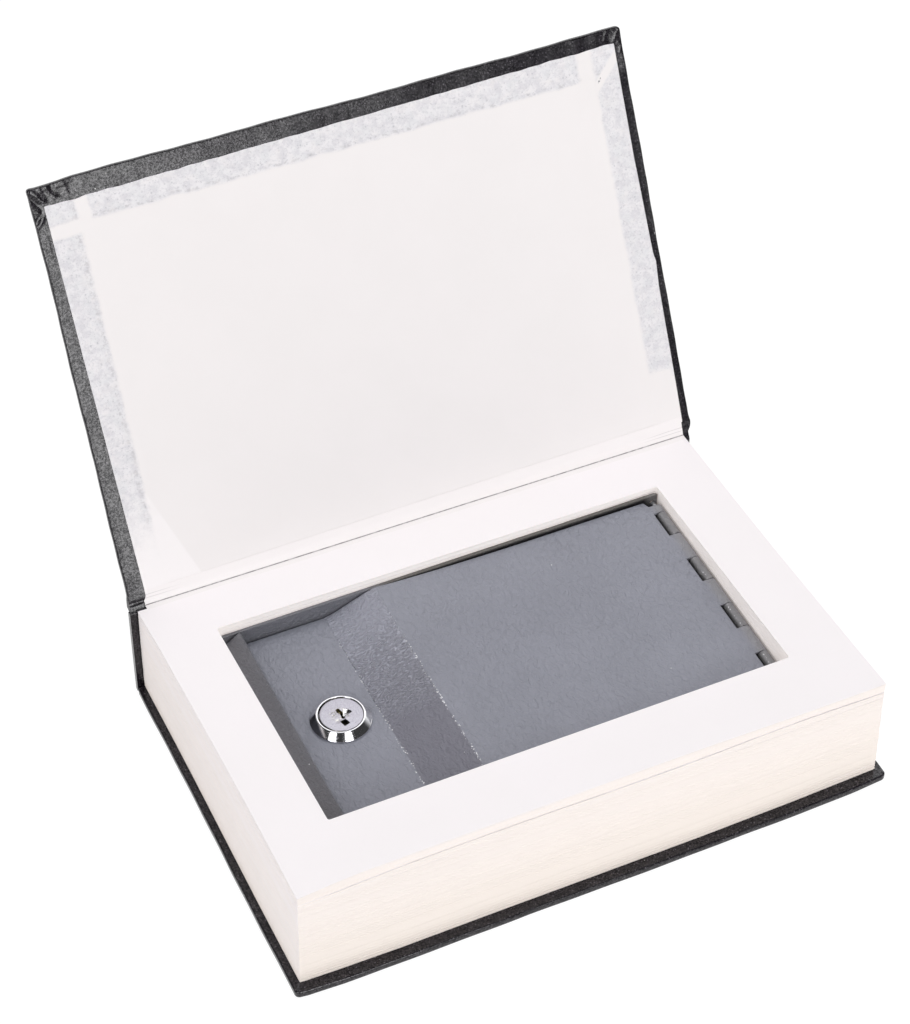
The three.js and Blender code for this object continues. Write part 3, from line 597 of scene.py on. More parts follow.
mull = make_mull()

for material, nodes in (
    (end_paper, ["back_endpaper"]),
    (mull, ["spine_lining"]),
    (tray_paint, ["box_tray"]),
    (zinc, ["lock_strike", "hinge_pin", "lock_washer", "lock_nut", "lock_cam", "cam_washer", "cam_screw"]),
    (brass, [f"lock_wafer_{number}" for number in range(1, 5)]),
    (spring_steel, [f"wafer_spring_{number}" for number in range(1, 5)]),
):
    for node in nodes:
        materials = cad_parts[node].data.materials
        materials.clear()
        materials.append(material)


def place(obj, body, slot, *nodes):
    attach(obj, body)
    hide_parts(*nodes)
    return obj


# Pages

# How far up the block leans, how deep the leaves are modelled in the window's walls, the depth of the
# inner leaves' bottom below the page top, and the height of the main block's bottom
LEAN_HEIGHT = 42.0
WALL_DEPTH = 12.0
INNER_DEPTH = 5.6
BLOCK_BASE = 6.1


def round_loop(x0, x1, y0, y1, radius, long_count, short_count, corner_count=5):
    """Points and outward normals round a rectangle. Loops with the same counts match point for point."""
    left, right, front, back = x0 + radius, x1 - radius, y0 + radius, y1 - radius
    sides = (
        ((left, y0), (right, y0), (0, -1), long_count, (right, front), -90),
        ((x1, front), (x1, back), (1, 0), short_count, (right, back), 0),
        ((right, y1), (left, y1), (0, 1), long_count, (left, back), 90),
        ((x0, back), (x0, front), (-1, 0), short_count, (left, front), 180),
    )
    points = []
    normals = []
    for start, end, normal, count, centre, angle in sides:
        for t in np.linspace(0, 1, count):
            points.append((start[0] + (end[0] - start[0]) * t, start[1] + (end[1] - start[1]) * t))
            normals.append(normal)
        for k in range(1, corner_count):
            turn = math.radians(angle + 90 * k / corner_count)
            normals.append((math.cos(turn), math.sin(turn)))
            points.append((centre[0] + radius * normals[-1][0], centre[1] + radius * normals[-1][1]))
    return np.array(points), np.array(normals)


# How far the upper leaves puff up and draw back at the fore-edge, along x
front_rise = curve(
    (-114.5, 0.1), (-108, 0.7), (-100, 1.35), (-90, 1.85), (-60, 2.05), (0, 2.1),
    (40, 1.95), (60, 1.6), (80, 1.25), (100, 1.15), (114.5, 1.2),
)
# How far the gap below the upper leaves wanders down from its mean line, along the fore-edge
leaf_gap = curve(
    (-114.5, 1.9), (-105, 1.6), (-90, 0.6), (-75, -0.1), (-50, -0.35), (-20, -0.1), (0, 0.55),
    (20, 0.75), (40, 0.8), (60, 0.1), (80, -0.3), (95, 0.0), (110, 0.7), (114.5, 0.7),
)
# Height of the gap below the upper leaves, and below the inner leaves, along the fore-edge
upper_gap = curve(
    (-114.5, 0.04), (-106, 0.07), (-96, 0.26), (-60, 0.32), (0, 0.34), (60, 0.36), (100, 0.42), (114.5, 0.36)
)
inner_gap = curve(
    (-114.5, 0.05), (-86, 0.06), (-78, 0.22), (-62, 0.22), (-52, 0.06), (40, 0.06),
    (56, 0.24), (110, 0.26), (114.5, 0.2),
)
# How far the foot of the block stands out, at the fore-edge along x and at the left end along y
lean_front = curve(
    (-114.5, 1.1), (-100, 1.6), (-77, 2.0), (-40, 1.9), (0, 2.0), (40, 2.0), (80, 1.5), (100, 0.9), (114.5, 0.5)
)
lean_left = curve((-76.2, 1.1), (-40, 0.95), (0, 0.5), (20, 0.25), (52, 0.0))
# How far the top leaves draw in at the left end, along y
top_left = curve((-76.2, 0.0), (-50, 0.45), (-25, 0.75), (10, 0.9), (55, 0.75), (76.2, 0.3))


def at_front(y, end=-52.0):
    """1 at the fore-edge of the pages, fading to 0 at the end given."""
    return 1 - smoothstep(-PAGE_Y, end, y)


def block_lean(verts):
    """Shifts points of the pages sideways by how far their foot stands out and their head draws in."""
    x, y, z = verts.T
    low = np.clip(1 - (z - LEAVES_BASE) / LEAN_HEIGHT, 0, 1)
    left = 1 - smoothstep(-PAGE_X, -94.0, x)
    out = verts.copy()
    out[:, 1] -= lean_front(x) * low * at_front(y)
    out[:, 0] += left * (top_left(y) * (1 - low) - lean_left(y) * low)
    return out


OUTER, OUTER_NORMAL = round_loop(-PAGE_X, PAGE_X, -PAGE_Y, PAGE_Y, 0.25, 78, 52)
INNER, INNER_NORMAL = round_loop(*WINDOW, WINDOW_RADIUS, 78, 52)


def leaf_rows(seed, thickness, pitch, spread):
    """Depths below the top and sideways steps of the leaf edges, two rows to a leaf group."""
    rng = np.random.default_rng(seed)
    count = max(int(round(thickness / pitch)), 1)
    cuts = np.linspace(0, thickness, count + 1)
    rows = []
    for upper, lower in zip(cuts[:-1], cuts[1:]):
        push = rng.normal(0, spread)
        gap = 0.12 * (lower - upper)
        rows += [(upper + gap * 0.5, push), (lower - gap * 0.5, push)]
    return rows


def page_stack(name, top, bottom, seed, pitch, spread, shift, puff):
    """Leaves between two heights, with the window cut through them, as one closed grid.
    The puff is how far the bottom and the top follow the upper leaves' rise at the fore-edge."""
    drift = waves(seed, 7, 25, 120)
    lean = waves(seed + 1, 5, 60, 240)
    ripple = waves(seed + 4, 9, 35, 160)
    outer = OUTER + np.array(shift)
    rings = []

    def wall(loop, normal, rows, sign):
        top_z = top(loop[:, 0], loop[:, 1])
        full = top_z - bottom(loop[:, 0], loop[:, 1])
        along = loop[:, 0] + loop[:, 1]
        for depth, push in rows:
            z = top_z - full * depth / float(np.mean(full))
            swing = 0.035 * drift(along, z * 9) * spread / 0.05 + 0.05 * lean(along, z * 2) * spread / 0.05
            rings.append(np.column_stack([loop + normal * ((push + swing) * sign)[:, None], z]))

    mean = float(np.mean(top(*OUTER.T) - bottom(*OUTER.T)))
    mean_in = float(np.mean(top(*INNER.T) - bottom(*INNER.T)))
    rows_in = leaf_rows(seed + 3, min(mean_in, WALL_DEPTH), pitch, spread * 0.8)
    if mean_in > WALL_DEPTH:
        rows_in += [(mean_in * 0.7, 0.0), (mean_in, 0.0)]
    wall(INNER, -INNER_NORMAL, rows_in[::-1], 0.35)
    steps = 14
    for k in range(steps + 1):
        t = k / steps
        points = INNER * (1 - t) + outer * t
        z = top(*points.T)
        if 0 < k < steps:
            z = z + 0.035 * ripple(*points.T)
        rings.append(np.column_stack([points, z]))
    wall(outer, OUTER_NORMAL, leaf_rows(seed + 2, mean, pitch, spread), 1.0)
    for t in (1.0, 0.5, 0.0):
        points = INNER * (1 - t) + outer * t
        rings.append(np.column_stack([points, bottom(*points.T)]))
    verts = np.vstack(rings)
    x, y, z = verts.T
    share = np.clip((z - bottom(x, y)) / (top(x, y) - bottom(x, y)), 0, 1)
    share = puff[0] + (puff[1] - puff[0]) * share
    verts[:, 2] += 0.3 * front_rise(x) * at_front(y) * share
    verts[:, 1] += 0.65 * front_rise(x) * at_front(y, -60.0) * share
    verts[:, 0] += 0.9 * smoothstep(90, 114.5, x) * (1 - smoothstep(-76.0, 20.0, y)) * share
    obj = new_object(name, block_lean(verts), quads(len(rings), len(OUTER), True, True), page_edges, 40)
    fix_normals(obj)
    return obj


def split_material(obj, material, keep):
    """Gives one more material to faces whose centre and normal the test picks."""
    obj.data.materials.append(material)
    index = len(obj.data.materials) - 1
    for polygon in obj.data.polygons:
        if keep(polygon.center, polygon.normal):
            polygon.material_index = index


def is_end(centre, normal):
    return abs(normal.x) > 0.7


def is_window_wall(centre, normal):
    return abs(normal.z) < 0.5 and abs(centre.x) < 0.1 and -0.06 < centre.y < 0.066


def below_top(depth):
    return lambda x, y: page_top(x, y) - depth


def wandering(gap=0.0):
    """The bottom of the upper leaves, which wanders near the fore-edge, lower by a share of the gap there."""

    def height(x, y):
        near = at_front(y, -56.0)
        return page_top(x, y) - 2.2 - 0.8 * leaf_gap(x) * near - gap * (0.1 + (upper_gap(x) - 0.1) * near)

    return height


def below_inner(x, y):
    """The top of the main block, below the inner leaves."""
    return page_top(x, y) - INNER_DEPTH - 0.06 - (inner_gap(x) - 0.06) * at_front(y, -56.0)


def block_base(x, y):
    return x * 0 + BLOCK_BASE


for name, slot, high, low, seed, pitch, spread, shift, puff in (
    ("front_flyleaf", "paper", below_top(0.0), below_top(0.16), 11, 0.2, 0.0, (0, 0), (0.95, 1.0)),
    ("upper_leaves", "leaves", below_top(0.23), wandering(), 21, 0.33, 0.03, (0, 0), (0.0, 0.94)),
    ("inner_leaves", "leaves", wandering(1.0), below_top(INNER_DEPTH), 31, 0.4, 0.035, (0, -0.06), (0, 0)),
    ("page_block", "leaves", below_inner, block_base, 41, 0.42, 0.03, (0, 0), (0, 0)),
):
    stack = page_stack(name + "_detail", high, low, seed, pitch, spread, shift, puff)
    split_material(stack, page_paper, lambda centre, normal: normal.z > 0.9)
    split_material(stack, page_ends, is_end)
    split_material(stack, page_walls_painted_bright, is_window_wall)
    place(stack, "book", slot, name)

lower_rows = [(push, LOWER_LEAVES_TOP - depth) for depth, push in leaf_rows(61, 3.0, 0.42, 0.05)][1:-1]
page_xs, page_ys = (lines(-half, half, 1.0, 4.0, 4.0) for half in (PAGE_X, PAGE_Y))
verts, faces = slab(page_xs, page_ys, 0.3, 0.05, LEAVES_BASE, LOWER_LEAVES_TOP, lower_rows)
lower_block = new_object("lower_leaves_detail", block_lean(verts), faces, page_edges, 40)
split_material(lower_block, page_ends, is_end)
place(lower_block, "book", "leaves", "lower_leaves")


# Covers

COVER_XS = lines(-COVER_X, COVER_X, 0.45, 3.0, 20.0)

# How far the open cover has slipped to the right
COVER_SHIFT = 1.12

# Folds of the cloth at the fore-edge corners: both ends of a crease, its width and its height
FRONT_CREASES = (
    (-117.5, 160.0, -111.2, 151.5, 1.0, 0.45),
    (-116.5, 156.6, -109.0, 159.4, 1.6, 0.35),
    (-111.5, 160.0, -108.0, 153.5, 0.6, 0.3),
    (-109.5, 160.0, -105.5, 154.0, 0.9, -0.3),
    (-104.5, 160.0, -103.2, 154.0, 0.6, 0.15),
    (-108.0, 157.8, -101.0, 158.4, 0.7, 0.22),
    (-117.0, 152.0, -112.5, 149.0, 0.5, 0.32),
    (-117.2, 145.5, -112.8, 149.6, 0.6, 0.45),
    (-117.2, 147.5, -113.2, 151.2, 0.6, -0.4),
    (-116.8, 141.5, -113.5, 137.5, 0.5, 0.22),
    (-117.2, 157.5, -112.9, 151.0, 0.9, -0.6),
    (117.5, 160.0, 113.5, 154.5, 0.6, 0.32),
    (112.0, 159.8, 110.0, 155.5, 0.5, 0.2),
    (117.0, 153.0, 115.0, 150.0, 0.5, 0.22),
)
BACK_CREASES = (
    (-117.5, -80.5, -113.0, -75.5, 0.6, 0.3),
    (-113.5, -80.5, -110.5, -76.5, 0.5, 0.22),
    (117.5, -80.5, 112.5, -75.0, 0.6, 0.32),
    (110.0, -80.5, 107.5, -76.5, 0.6, 0.2),
    (-117.5, -72.0, -114.5, -74.0, 0.5, 0.2),
)
PASTED_CREASES = ((-104.0, 38.0, -86.0, 5.0, 1.6, 0.08), (99.0, 26.0, 111.0, 4.0, 1.5, 0.06))

# How far the edge of the open cover bulges out, and the edges of the back cover
front_bulge = curve(
    (-117, 0.85), (-110, 1.15), (-100, 1.5), (-75, 1.45), (-50, 1.5), (-30, 1.35),
    (-10, 1.1), (10, 0.95), (40, 0.65), (70, 0.5), (100, 0.65), (117, 0.7),
)
back_bulge = curve(
    (-117, 0.9), (-113, 1.5), (-101, 2.0), (-77, 2.3), (-53, 2.1), (-29, 1.8), (7, 2.2),
    (43, 2.2), (67, 2.1), (91, 1.5), (103, 1.2), (115, 0.6), (117, 0.3),
)
back_side_bulge = curve(
    (-80, 1.35), (-66, 1.35), (-45, 1.25), (-20, 1.1), (0, 0.8), (20, 0.5), (45, 0.15), (80, 0.0)
)
# The left, right and upper edges of the pasted sheet, and its length before it is fitted to them
PASTED_LENGTH = 154.0
pasted_left = curve((0, -109.2), (12, -109.3), (60, -110.1), (100, -110.8), (150, -111.5), (156, -111.6))
pasted_right = curve(
    (0, 115.0), (28, 115.3), (58, 115.5), (66, 116.1), (69, 116.3), (70.5, 115.6), (90, 115.2),
    (110, 114.7), (135, 114.7), (156, 114.8),
)
pasted_top = curve((-112, 153.2), (-50, 153.6), (50, 154.0), (115, 154.6))

crumple_wide = waves(74, 5, 5.5, 12)
crumple_fine = waves(75, 6, 2.4, 5)
cover_bow = waves(71, 5, 90, 260)


def corner_creases(x, u):
    """Folds of the cloth at the two fore-edge corners of the open cover, on the inner side."""
    rise = np.zeros_like(x)
    for crease in FRONT_CREASES:
        rise = rise + 0.42 * ridge(x, u, *crease)
    for side, reach, size in ((-1, 15.0, 0.14), (1, 8.0, 0.1)):
        away = np.hypot(x - side * COVER_X, (u - COVER_TIP) * 0.85)
        crumple = (1 - np.abs(crumple_wide(x * 1.25, u))) * 0.62 + (1 - np.abs(crumple_fine(x, u))) * 0.1
        rise = rise + size * np.clip(crumple, -0.3, 0.75) * (1 - smoothstep(reach * 0.4, reach, away))
    beside = np.maximum(1 - smoothstep(-114.6, -112.9, x), smoothstep(114.8, 115.8, x))
    return rise * np.maximum(beside, smoothstep(153.0, 154.3, u))


def front_bow(x, u):
    return 0.12 * cover_bow(x, u) * smoothstep(0, 40, u)


def front_shape(verts):
    """Warps the flat open cover: a slow bow, a bulged fore-edge near one corner and creased corners."""
    x, u, w = verts.T.copy()
    edge = waves(72, 6, 14, 60)
    inner = smoothstep(-2.6, -0.4, w)
    tip = smoothstep(135, 159.5, u)
    end = smoothstep(112, 117, np.abs(x))
    u2 = u + tip * front_bulge(x) + 0.12 * edge(x, u) * tip
    x2 = 0.998 * x + COVER_SHIFT + 0.35 * smoothstep(100, 117, x) + 0.1 * edge(u, x) * end * np.sign(x)
    w2 = w + front_bow(x, u) + inner * corner_creases(x, u)
    w2 = w2 + 0.05 * edge(x * 1.7, u * 1.7) * np.maximum(tip, end) * inner
    for side, corner, reach in ((-1, COVER_TIP, 0.62), (1, COVER_TIP, 0.2), (-1, 1.3, 0.75), (1, 1.3, 0.75)):
        near = np.exp(-(((x - side * COVER_X) ** 2 + (u - corner) ** 2) / 1.6**2))
        x2 = x2 + side * reach * near
        u2 = u2 + (reach if corner > 10 else -0.6 * reach) * near
    return np.column_stack([x2, u2, w2])


def on_open_cover(obj):
    """Turns an object from (x, u, w) on the open cover to the frame: u up the cover, w towards the pages."""
    c, s = math.cos(OPEN_ANGLE), math.sin(OPEN_ANGLE)
    rows = ((1, 0, 0, 0), (0, -c, -s, JOINT_Y * MM), (0, s, -c, JOINT_Z * MM), (0, 0, 0, 1))
    obj.matrix_world = Matrix(rows)
    return obj


cover_us = lines(1.3, COVER_TIP, 0.45, 3.0, 18.0)
verts, faces = slab(COVER_XS, cover_us, 2.0, 0.75, -COVER_THICKNESS, -0.28, ((0.0, -1.5), (0.02, -1.9)))
front_cloth = on_open_cover(new_object("front_cover_cloth_detail", front_shape(verts), faces, leatherette, 60))
place(front_cloth, "front_cover", "cover_cloth", "front_cover_cloth", "front_board")


def pasted_shape(verts):
    """The pasted sheet follows its measured edges and rises over the turn-ins."""
    x, u, w = verts.T.copy()
    left, right = pasted_left(u), pasted_right(u)
    x2 = left + (right - left) * ((x + PAGE_X) / (2 * PAGE_X))
    stretched = u * pasted_top(x2) / PASTED_LENGTH
    u2 = np.where(stretched > 3, stretched, u)
    nibble = waves(81, 8, 4, 30)
    u2 = u2 + 0.1 * nibble(x2, 0) * smoothstep(150, 154, u)
    pucker = waves(82, 10, 18, 70)
    sides = np.maximum(1 - smoothstep(-101.0, -99.4, x2), smoothstep(103.8, 105.4, x2))
    rise = np.maximum(sides, smoothstep(143.0, 144.6, u2))
    slack = smoothstep(0, 25, u2) * 0.03 + 0.02
    w2 = w - 0.14 * (1 - rise) + slack * pucker(x2, u2) + front_bow(x2 - 1.1, u2)
    for crease in PASTED_CREASES:
        w2 = w2 + ridge(x2, u2, *crease)
    return np.column_stack([x2, u2, w2])


paper_xs, paper_us = lines(-PAGE_X, PAGE_X, 0.7, 2.2, 18.0), lines(2.1, PASTED_LENGTH, 0.7, 2.2, 18.0)
verts, faces = slab(paper_xs, paper_us, 0.3, 0.08, -0.24, 0.0)
pasted = on_open_cover(new_object("front_pastedown_detail", pasted_shape(verts), faces, pasted_paper, 50))
place(pasted, "front_cover", "paper", "front_pastedown")


def back_shape(verts):
    """A slightly wavy back cover with creased fore-edge corners."""
    x, y, z = verts.T.copy()
    edge = waves(91, 7, 12, 70)
    slow = waves(92, 4, 60, 200)
    fore = 1 - smoothstep(-80.3, -74.0, y)
    ends = smoothstep(111.5, 117.3, np.abs(x))
    inner = smoothstep(0.6, 2.6, z)
    z2 = z + inner * np.maximum(fore, ends) * (0.07 * edge(x, y) + 0.06 * slow(x, y))
    y2 = y + 0.1 * edge(x, 3.0) * fore - back_bulge(x) * (1 - smoothstep(-80.3, -60.0, y))
    x2 = x + 0.1 * edge(y, 9.0) * ends * np.sign(x) - back_side_bulge(y) * (1 - smoothstep(-117.3, -95.0, x))
    for crease in BACK_CREASES:
        z2 = z2 + inner * ridge(x2, y2, *crease)
    return np.column_stack([x2, y2, np.maximum(z2, 0.0)])


cover_ys = lines(COVER_FORE_Y, 76.5, 0.55, 3.0, 20.0)
verts, faces = slab(COVER_XS, cover_ys, 1.6, 0.6, 0.0, COVER_THICKNESS, ((0.02, 1.9), (0.0, 1.4)))
back_cloth = new_object("back_cover_cloth_detail", back_shape(verts), faces, leatherette, 60)
place(back_cloth, "book", "cover_cloth", "back_cover_cloth", "back_board")


# Spine and joint


def strip(name, section, xs, material, smooth=50):
    """A closed section swept along x. The section is a function of x that gives (y, z) points."""
    sections = [section(x) for x in xs]
    count = len(sections[0])
    verts = np.vstack([np.column_stack([np.full(count, x), points]) for x, points in zip(xs, sections)])
    faces = quads(len(xs), count, wrap_cols=True)
    faces.append(list(range(count)))
    faces.append(list(range((len(xs) - 1) * count, len(xs) * count))[::-1])
    obj = new_object(name, verts, faces, material, smooth)
    fix_normals(obj)
    return obj


def arc(cy, cz, radius, start, end, steps):
    angles = np.radians(np.linspace(start, end, steps))
    return [(cy + radius * math.cos(a), cz + radius * math.sin(a)) for a in angles]


# The spine's section is as drawn up to the first height. From there it is stretched from the second
# height to the pages' own.
SPINE_KEPT = 20.0
SPINE_TOP = 41.65
SPINE_SECTION = (
    arc(77.4, 0.75, 0.7, 180, 270, 4)
    + arc(78.1, 0.8, 0.75, 270, 360, 5)
    + [(78.87, 3.5), (78.88, 10.0), (78.85, 20.0), (78.86, 30.0), (78.84, 38.0)]
    + arc(78.05, 40.9, 0.78, 0, 90, 4)
    + arc(77.4, 40.95, 0.7, 90, 180, 4)
    + [(76.72, 36.0), (76.7, 24.0), (76.7, 12.0), (76.7, 4.0)]
)
spine_wave = waves(101, 6, 20, 120)


def spine_shape(x):
    """The spine's section, as high as the pages are at x, with a slightly wavy outside."""
    y, z = np.array(SPINE_SECTION).T
    stretch = (page_top(x, PAGE_Y) - 1.0 - SPINE_KEPT) / (SPINE_TOP - SPINE_KEPT)
    z = np.where(z > SPINE_KEPT, SPINE_KEPT + (z - SPINE_KEPT) * stretch, z)
    return np.column_stack([y + np.where(y > 78.2, 0.05 * spine_wave(x, z * 2), 0), z])


spine = strip("spine_cloth_detail", spine_shape, lines(-117.1, 116.7, 0.6, 4.0, 6.0), leatherette)
place(spine, "book", "cover_cloth", "spine_cloth", "spine_board")


def cover_point(u, n):
    """A point on the open cover in the row frame: u up the cover, n out from its inner face."""
    c, s = math.cos(OPEN_ANGLE), math.sin(OPEN_ANGLE)
    return JOINT_Y - u * c + n * s, JOINT_Z + u * s + n * c


def gutter_path(x):
    """The endpaper's line from the pages to the gutter, and from the gutter up to the open cover."""
    top = float(page_top(x, PAGE_Y))
    pages = [(75.6, top + 0.03), (76.6, top + 0.03), (77.3, top), (77.98, top - 0.05)]
    dent = 0.3 * smoothstep(98, 110, abs(x))
    bend_y, bend_z = 79.35, 43.9
    cover = [
        (78.16, top + 0.05),
        (78.34, top + 0.3),
        (78.56, top + 0.7),
        (0.45 * 78.56 + 0.55 * bend_y, 0.45 * (top + 0.7) + 0.55 * bend_z),
        (bend_y + dent, bend_z - dent),
        cover_point(1.3, -0.02),
        cover_point(2.4, -0.04),
        cover_point(4.4, -0.05),
    ]
    return np.array(pages), np.array(cover)


def refine(path, steps):
    """The path with that many points, and with its corners smoothed."""
    t = np.linspace(0, len(path) - 1, steps)
    fine = np.column_stack([np.interp(t, np.arange(len(path)), values) for values in np.transpose(path)])
    for _ in range(2):
        fine[1:-1] = (fine[:-2] + 2 * fine[1:-1] + fine[2:]) / 4
    return fine


def outward(path, distance):
    """The path moved away from the pages."""
    tangent = np.gradient(path, axis=0)
    normal = np.column_stack([tangent[:, 1], -tangent[:, 0]])
    return path + normal / np.linalg.norm(normal, axis=1)[:, None] * distance


joint_wave = waves(111, 8, 3, 14)


def joint_shape(x):
    """The slightly pleated cloth between spine and cover: an inner and an outer path round the joint."""
    top = float(page_top(x, PAGE_Y)) - 1.25
    _, path = gutter_path(x)
    inner = outward(refine(path[:7], 24), 0.3)
    inner[0] = (77.5, top - 0.2)
    outer = [
        (78.86, top - 0.8),
        (78.95, top),
        (79.5, 0.6 * top + 0.4 * 41.6),
        (80.5, 0.3 * top + 0.7 * 41.8),
        (81.5, 42.1),
        cover_point(1.2, 2.8),
        cover_point(2.8, 2.84),
    ]
    section = np.vstack([inner, refine(outer, 24)[::-1]])
    end = smoothstep(112.5, 117.6, abs(x))
    pleat = 0.1 * joint_wave(section[:, 0] * 3 + x, section[:, 1] * 3) * (0.15 + end)
    section[:, 1] += pleat
    section[:, 0] += 0.5 * pleat
    return section


joint = strip("front_joint_cloth_detail", joint_shape, lines(-116.9, 117.0, 0.5, 3.0, 8.0), leatherette, 60)
for vertex in joint.data.vertices:
    x = vertex.co.x / MM
    ends = 1.5 * smoothstep(100, 116.7, x) + 0.8 * (1 - smoothstep(-116.9, -100, x))
    vertex.co.x += ends * smoothstep(40.5, 44.0, vertex.co.z / MM) * MM
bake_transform(joint)
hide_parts("front_joint_cloth")


def fold_shape(x):
    """The fold of the endpaper along the gutter."""
    pages, cover = gutter_path(x)
    depth = GUTTER_DEPTH * (0.75 + 0.25 * math.sin(x * 0.21) * math.sin(x * 0.047 + 1))
    bottom = float(page_top(x, PAGE_Y)) - depth
    upper = np.vstack([refine(pages, 6), [(78.02, bottom), (78.1, bottom)], refine(cover, 22)])
    under = np.vstack([pages[:3] - (0, 0.12), [(78.06, bottom - 0.1)], outward(cover, 0.12)])
    return np.vstack([upper, refine(under, 24)[::-1]])


fold = strip("endpaper_fold", fold_shape, lines(-109.3, 114.5, 0.8, 2.0, 8.0), fold_paper, 60)
for vertex in fold.data.vertices:
    low = 1 - smoothstep(43.2, 45.6, vertex.co.z / MM)
    vertex.co.x -= 1.2 * MM * low * (1 - smoothstep(-109.7, -104.0, vertex.co.x / MM))
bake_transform(fold)


# Box lid

# How far the sheet's back corner by the ramp is bent up and outwards
CORNER_RISE = 2.3
CORNER_REACH = 0.4


def lid_profile():
    """Mid-surface of the lid sheet as (x, z) points, and how many come before the roll round the pin."""
    shelf, top = SHELF_TOP - SHEET / 2, LID_TOP - SHEET / 2
    low, high = np.array([RAMP[0], shelf]), np.array([RAMP[1], top])
    slope = np.linalg.norm(high - low)
    points = [(x, shelf) for x in np.linspace(LID_LEFT, RAMP[0] - 0.35, 12)]
    points.append((RAMP[0], shelf + 0.03))
    points += [tuple(low + (high - low) / slope * t) for t in np.linspace(0.35, slope - 0.35, 9)]
    points.append((RAMP[1], top - 0.03))
    points += [(x, top) for x in np.linspace(RAMP[1] + 0.35, SLOT_ROOT, 32)]
    flat = len(points)
    points.append((0.5 * (SLOT_ROOT + HINGE_X), top))
    return np.array(points + arc(HINGE_X, HINGE_Z, top - HINGE_Z, 90, -150, 22)), flat


def make_lid():
    """The lid's sheet with a slightly wavy face, slots at the hinge and its back corner bent up at the ramp."""
    profile, flat = lid_profile()
    marks = sorted({*LID_Y, LID_NOTCH_Y, *(end for slot in SLOTS for end in slot)})
    ys = []
    for a, b in zip(marks[:-1], marks[1:]):
        ys += list(np.linspace(a, b, max(int((b - a) / 3.0), 1) + 1)[:-1])
    ys.append(marks[-1])
    oil = waves(121, 5, 50, 180)
    rows, cols = len(profile), len(ys)
    verts = []
    for i, (x, z) in enumerate(profile):
        for y in ys:
            dz = 0.05 * float(oil(x, y)) if i < flat else 0.0
            bent = smoothstep(*RAMP, x) * math.exp(-max(x - RAMP[1], 0) / 26.0) * smoothstep(30.0, 56.0, y)
            reach = CORNER_REACH * bent * smoothstep(49.0, LID_Y[1], y)
            verts.append([x, y + reach, z + dz + CORNER_RISE * bent])
    verts = np.array(verts)
    verts[flat * cols - 1, 0] = SLOT_ROOT - 1.1
    faces = []
    for i in range(rows - 1):
        for j in range(cols - 1):
            middle = 0.5 * (ys[j] + ys[j + 1])
            in_slot = any(front < middle < back for back, front in SLOTS) or middle > LID_NOTCH_Y
            if i < flat - 1 or not in_slot:
                a = i * cols + j
                faces.append((a, a + cols, a + cols + 1, a + 1))
    used = sorted({v for f in faces for v in f})
    index = {v: k for k, v in enumerate(used)}
    faces = [tuple(index[v] for v in f) for f in faces]
    obj = new_object("box_lid_detail", verts[used], faces, lid_paint)
    thick = obj.modifiers.new("sheet", "SOLIDIFY")
    thick.thickness = SHEET * MM
    thick.offset = 0
    thick.use_even_offset = True
    bevel = obj.modifiers.new("edges", "BEVEL")
    bevel.width = 0.22 * MM
    bevel.segments = 2
    bevel.limit_method = "ANGLE"
    bevel.angle_limit = math.radians(50)
    bpy.context.view_layer.update()
    graph = bpy.context.evaluated_depsgraph_get()
    mesh = bpy.data.meshes.new_from_object(obj.evaluated_get(graph))
    obj.modifiers.clear()
    obj.data = mesh
    soften(obj, 40)
    return obj


place(make_lid(), "lid", "hammer_paint", "box_lid")


# Lock housing

HEAD_RADIUS = 11.4
RECESS_RADIUS = 8.35
RECESS_DEPTH = 1.95
BORE = 5.7
BORE_WIDE = 6.25
BARREL = 7.9
BARREL_HALF_FLAT = 6.8
THREAD_DEPTH = 0.35
THREAD_PITCH = 0.85
GROOVE_HALF_ANGLE = 38


def rounded_profile(corners):
    """A closed profile from corners of (radius, height, rounding)."""
    steps = 3
    out = []
    for i, (_, _, rounding) in enumerate(corners):
        p0, p1, p2 = (np.array(corners[(i + k) % len(corners)][:2], float) for k in (-1, 0, 1))
        a, b = p0 - p1, p2 - p1
        reach = min(rounding, np.linalg.norm(a) * 0.45, np.linalg.norm(b) * 0.45)
        a = p1 + a / np.linalg.norm(a) * reach
        b = p1 + b / np.linalg.norm(b) * reach
        for t in np.linspace(0, 1, steps + 1):
            out.append(tuple((1 - t) ** 2 * a + 2 * t * (1 - t) * p1 + t * t * b))
    return out


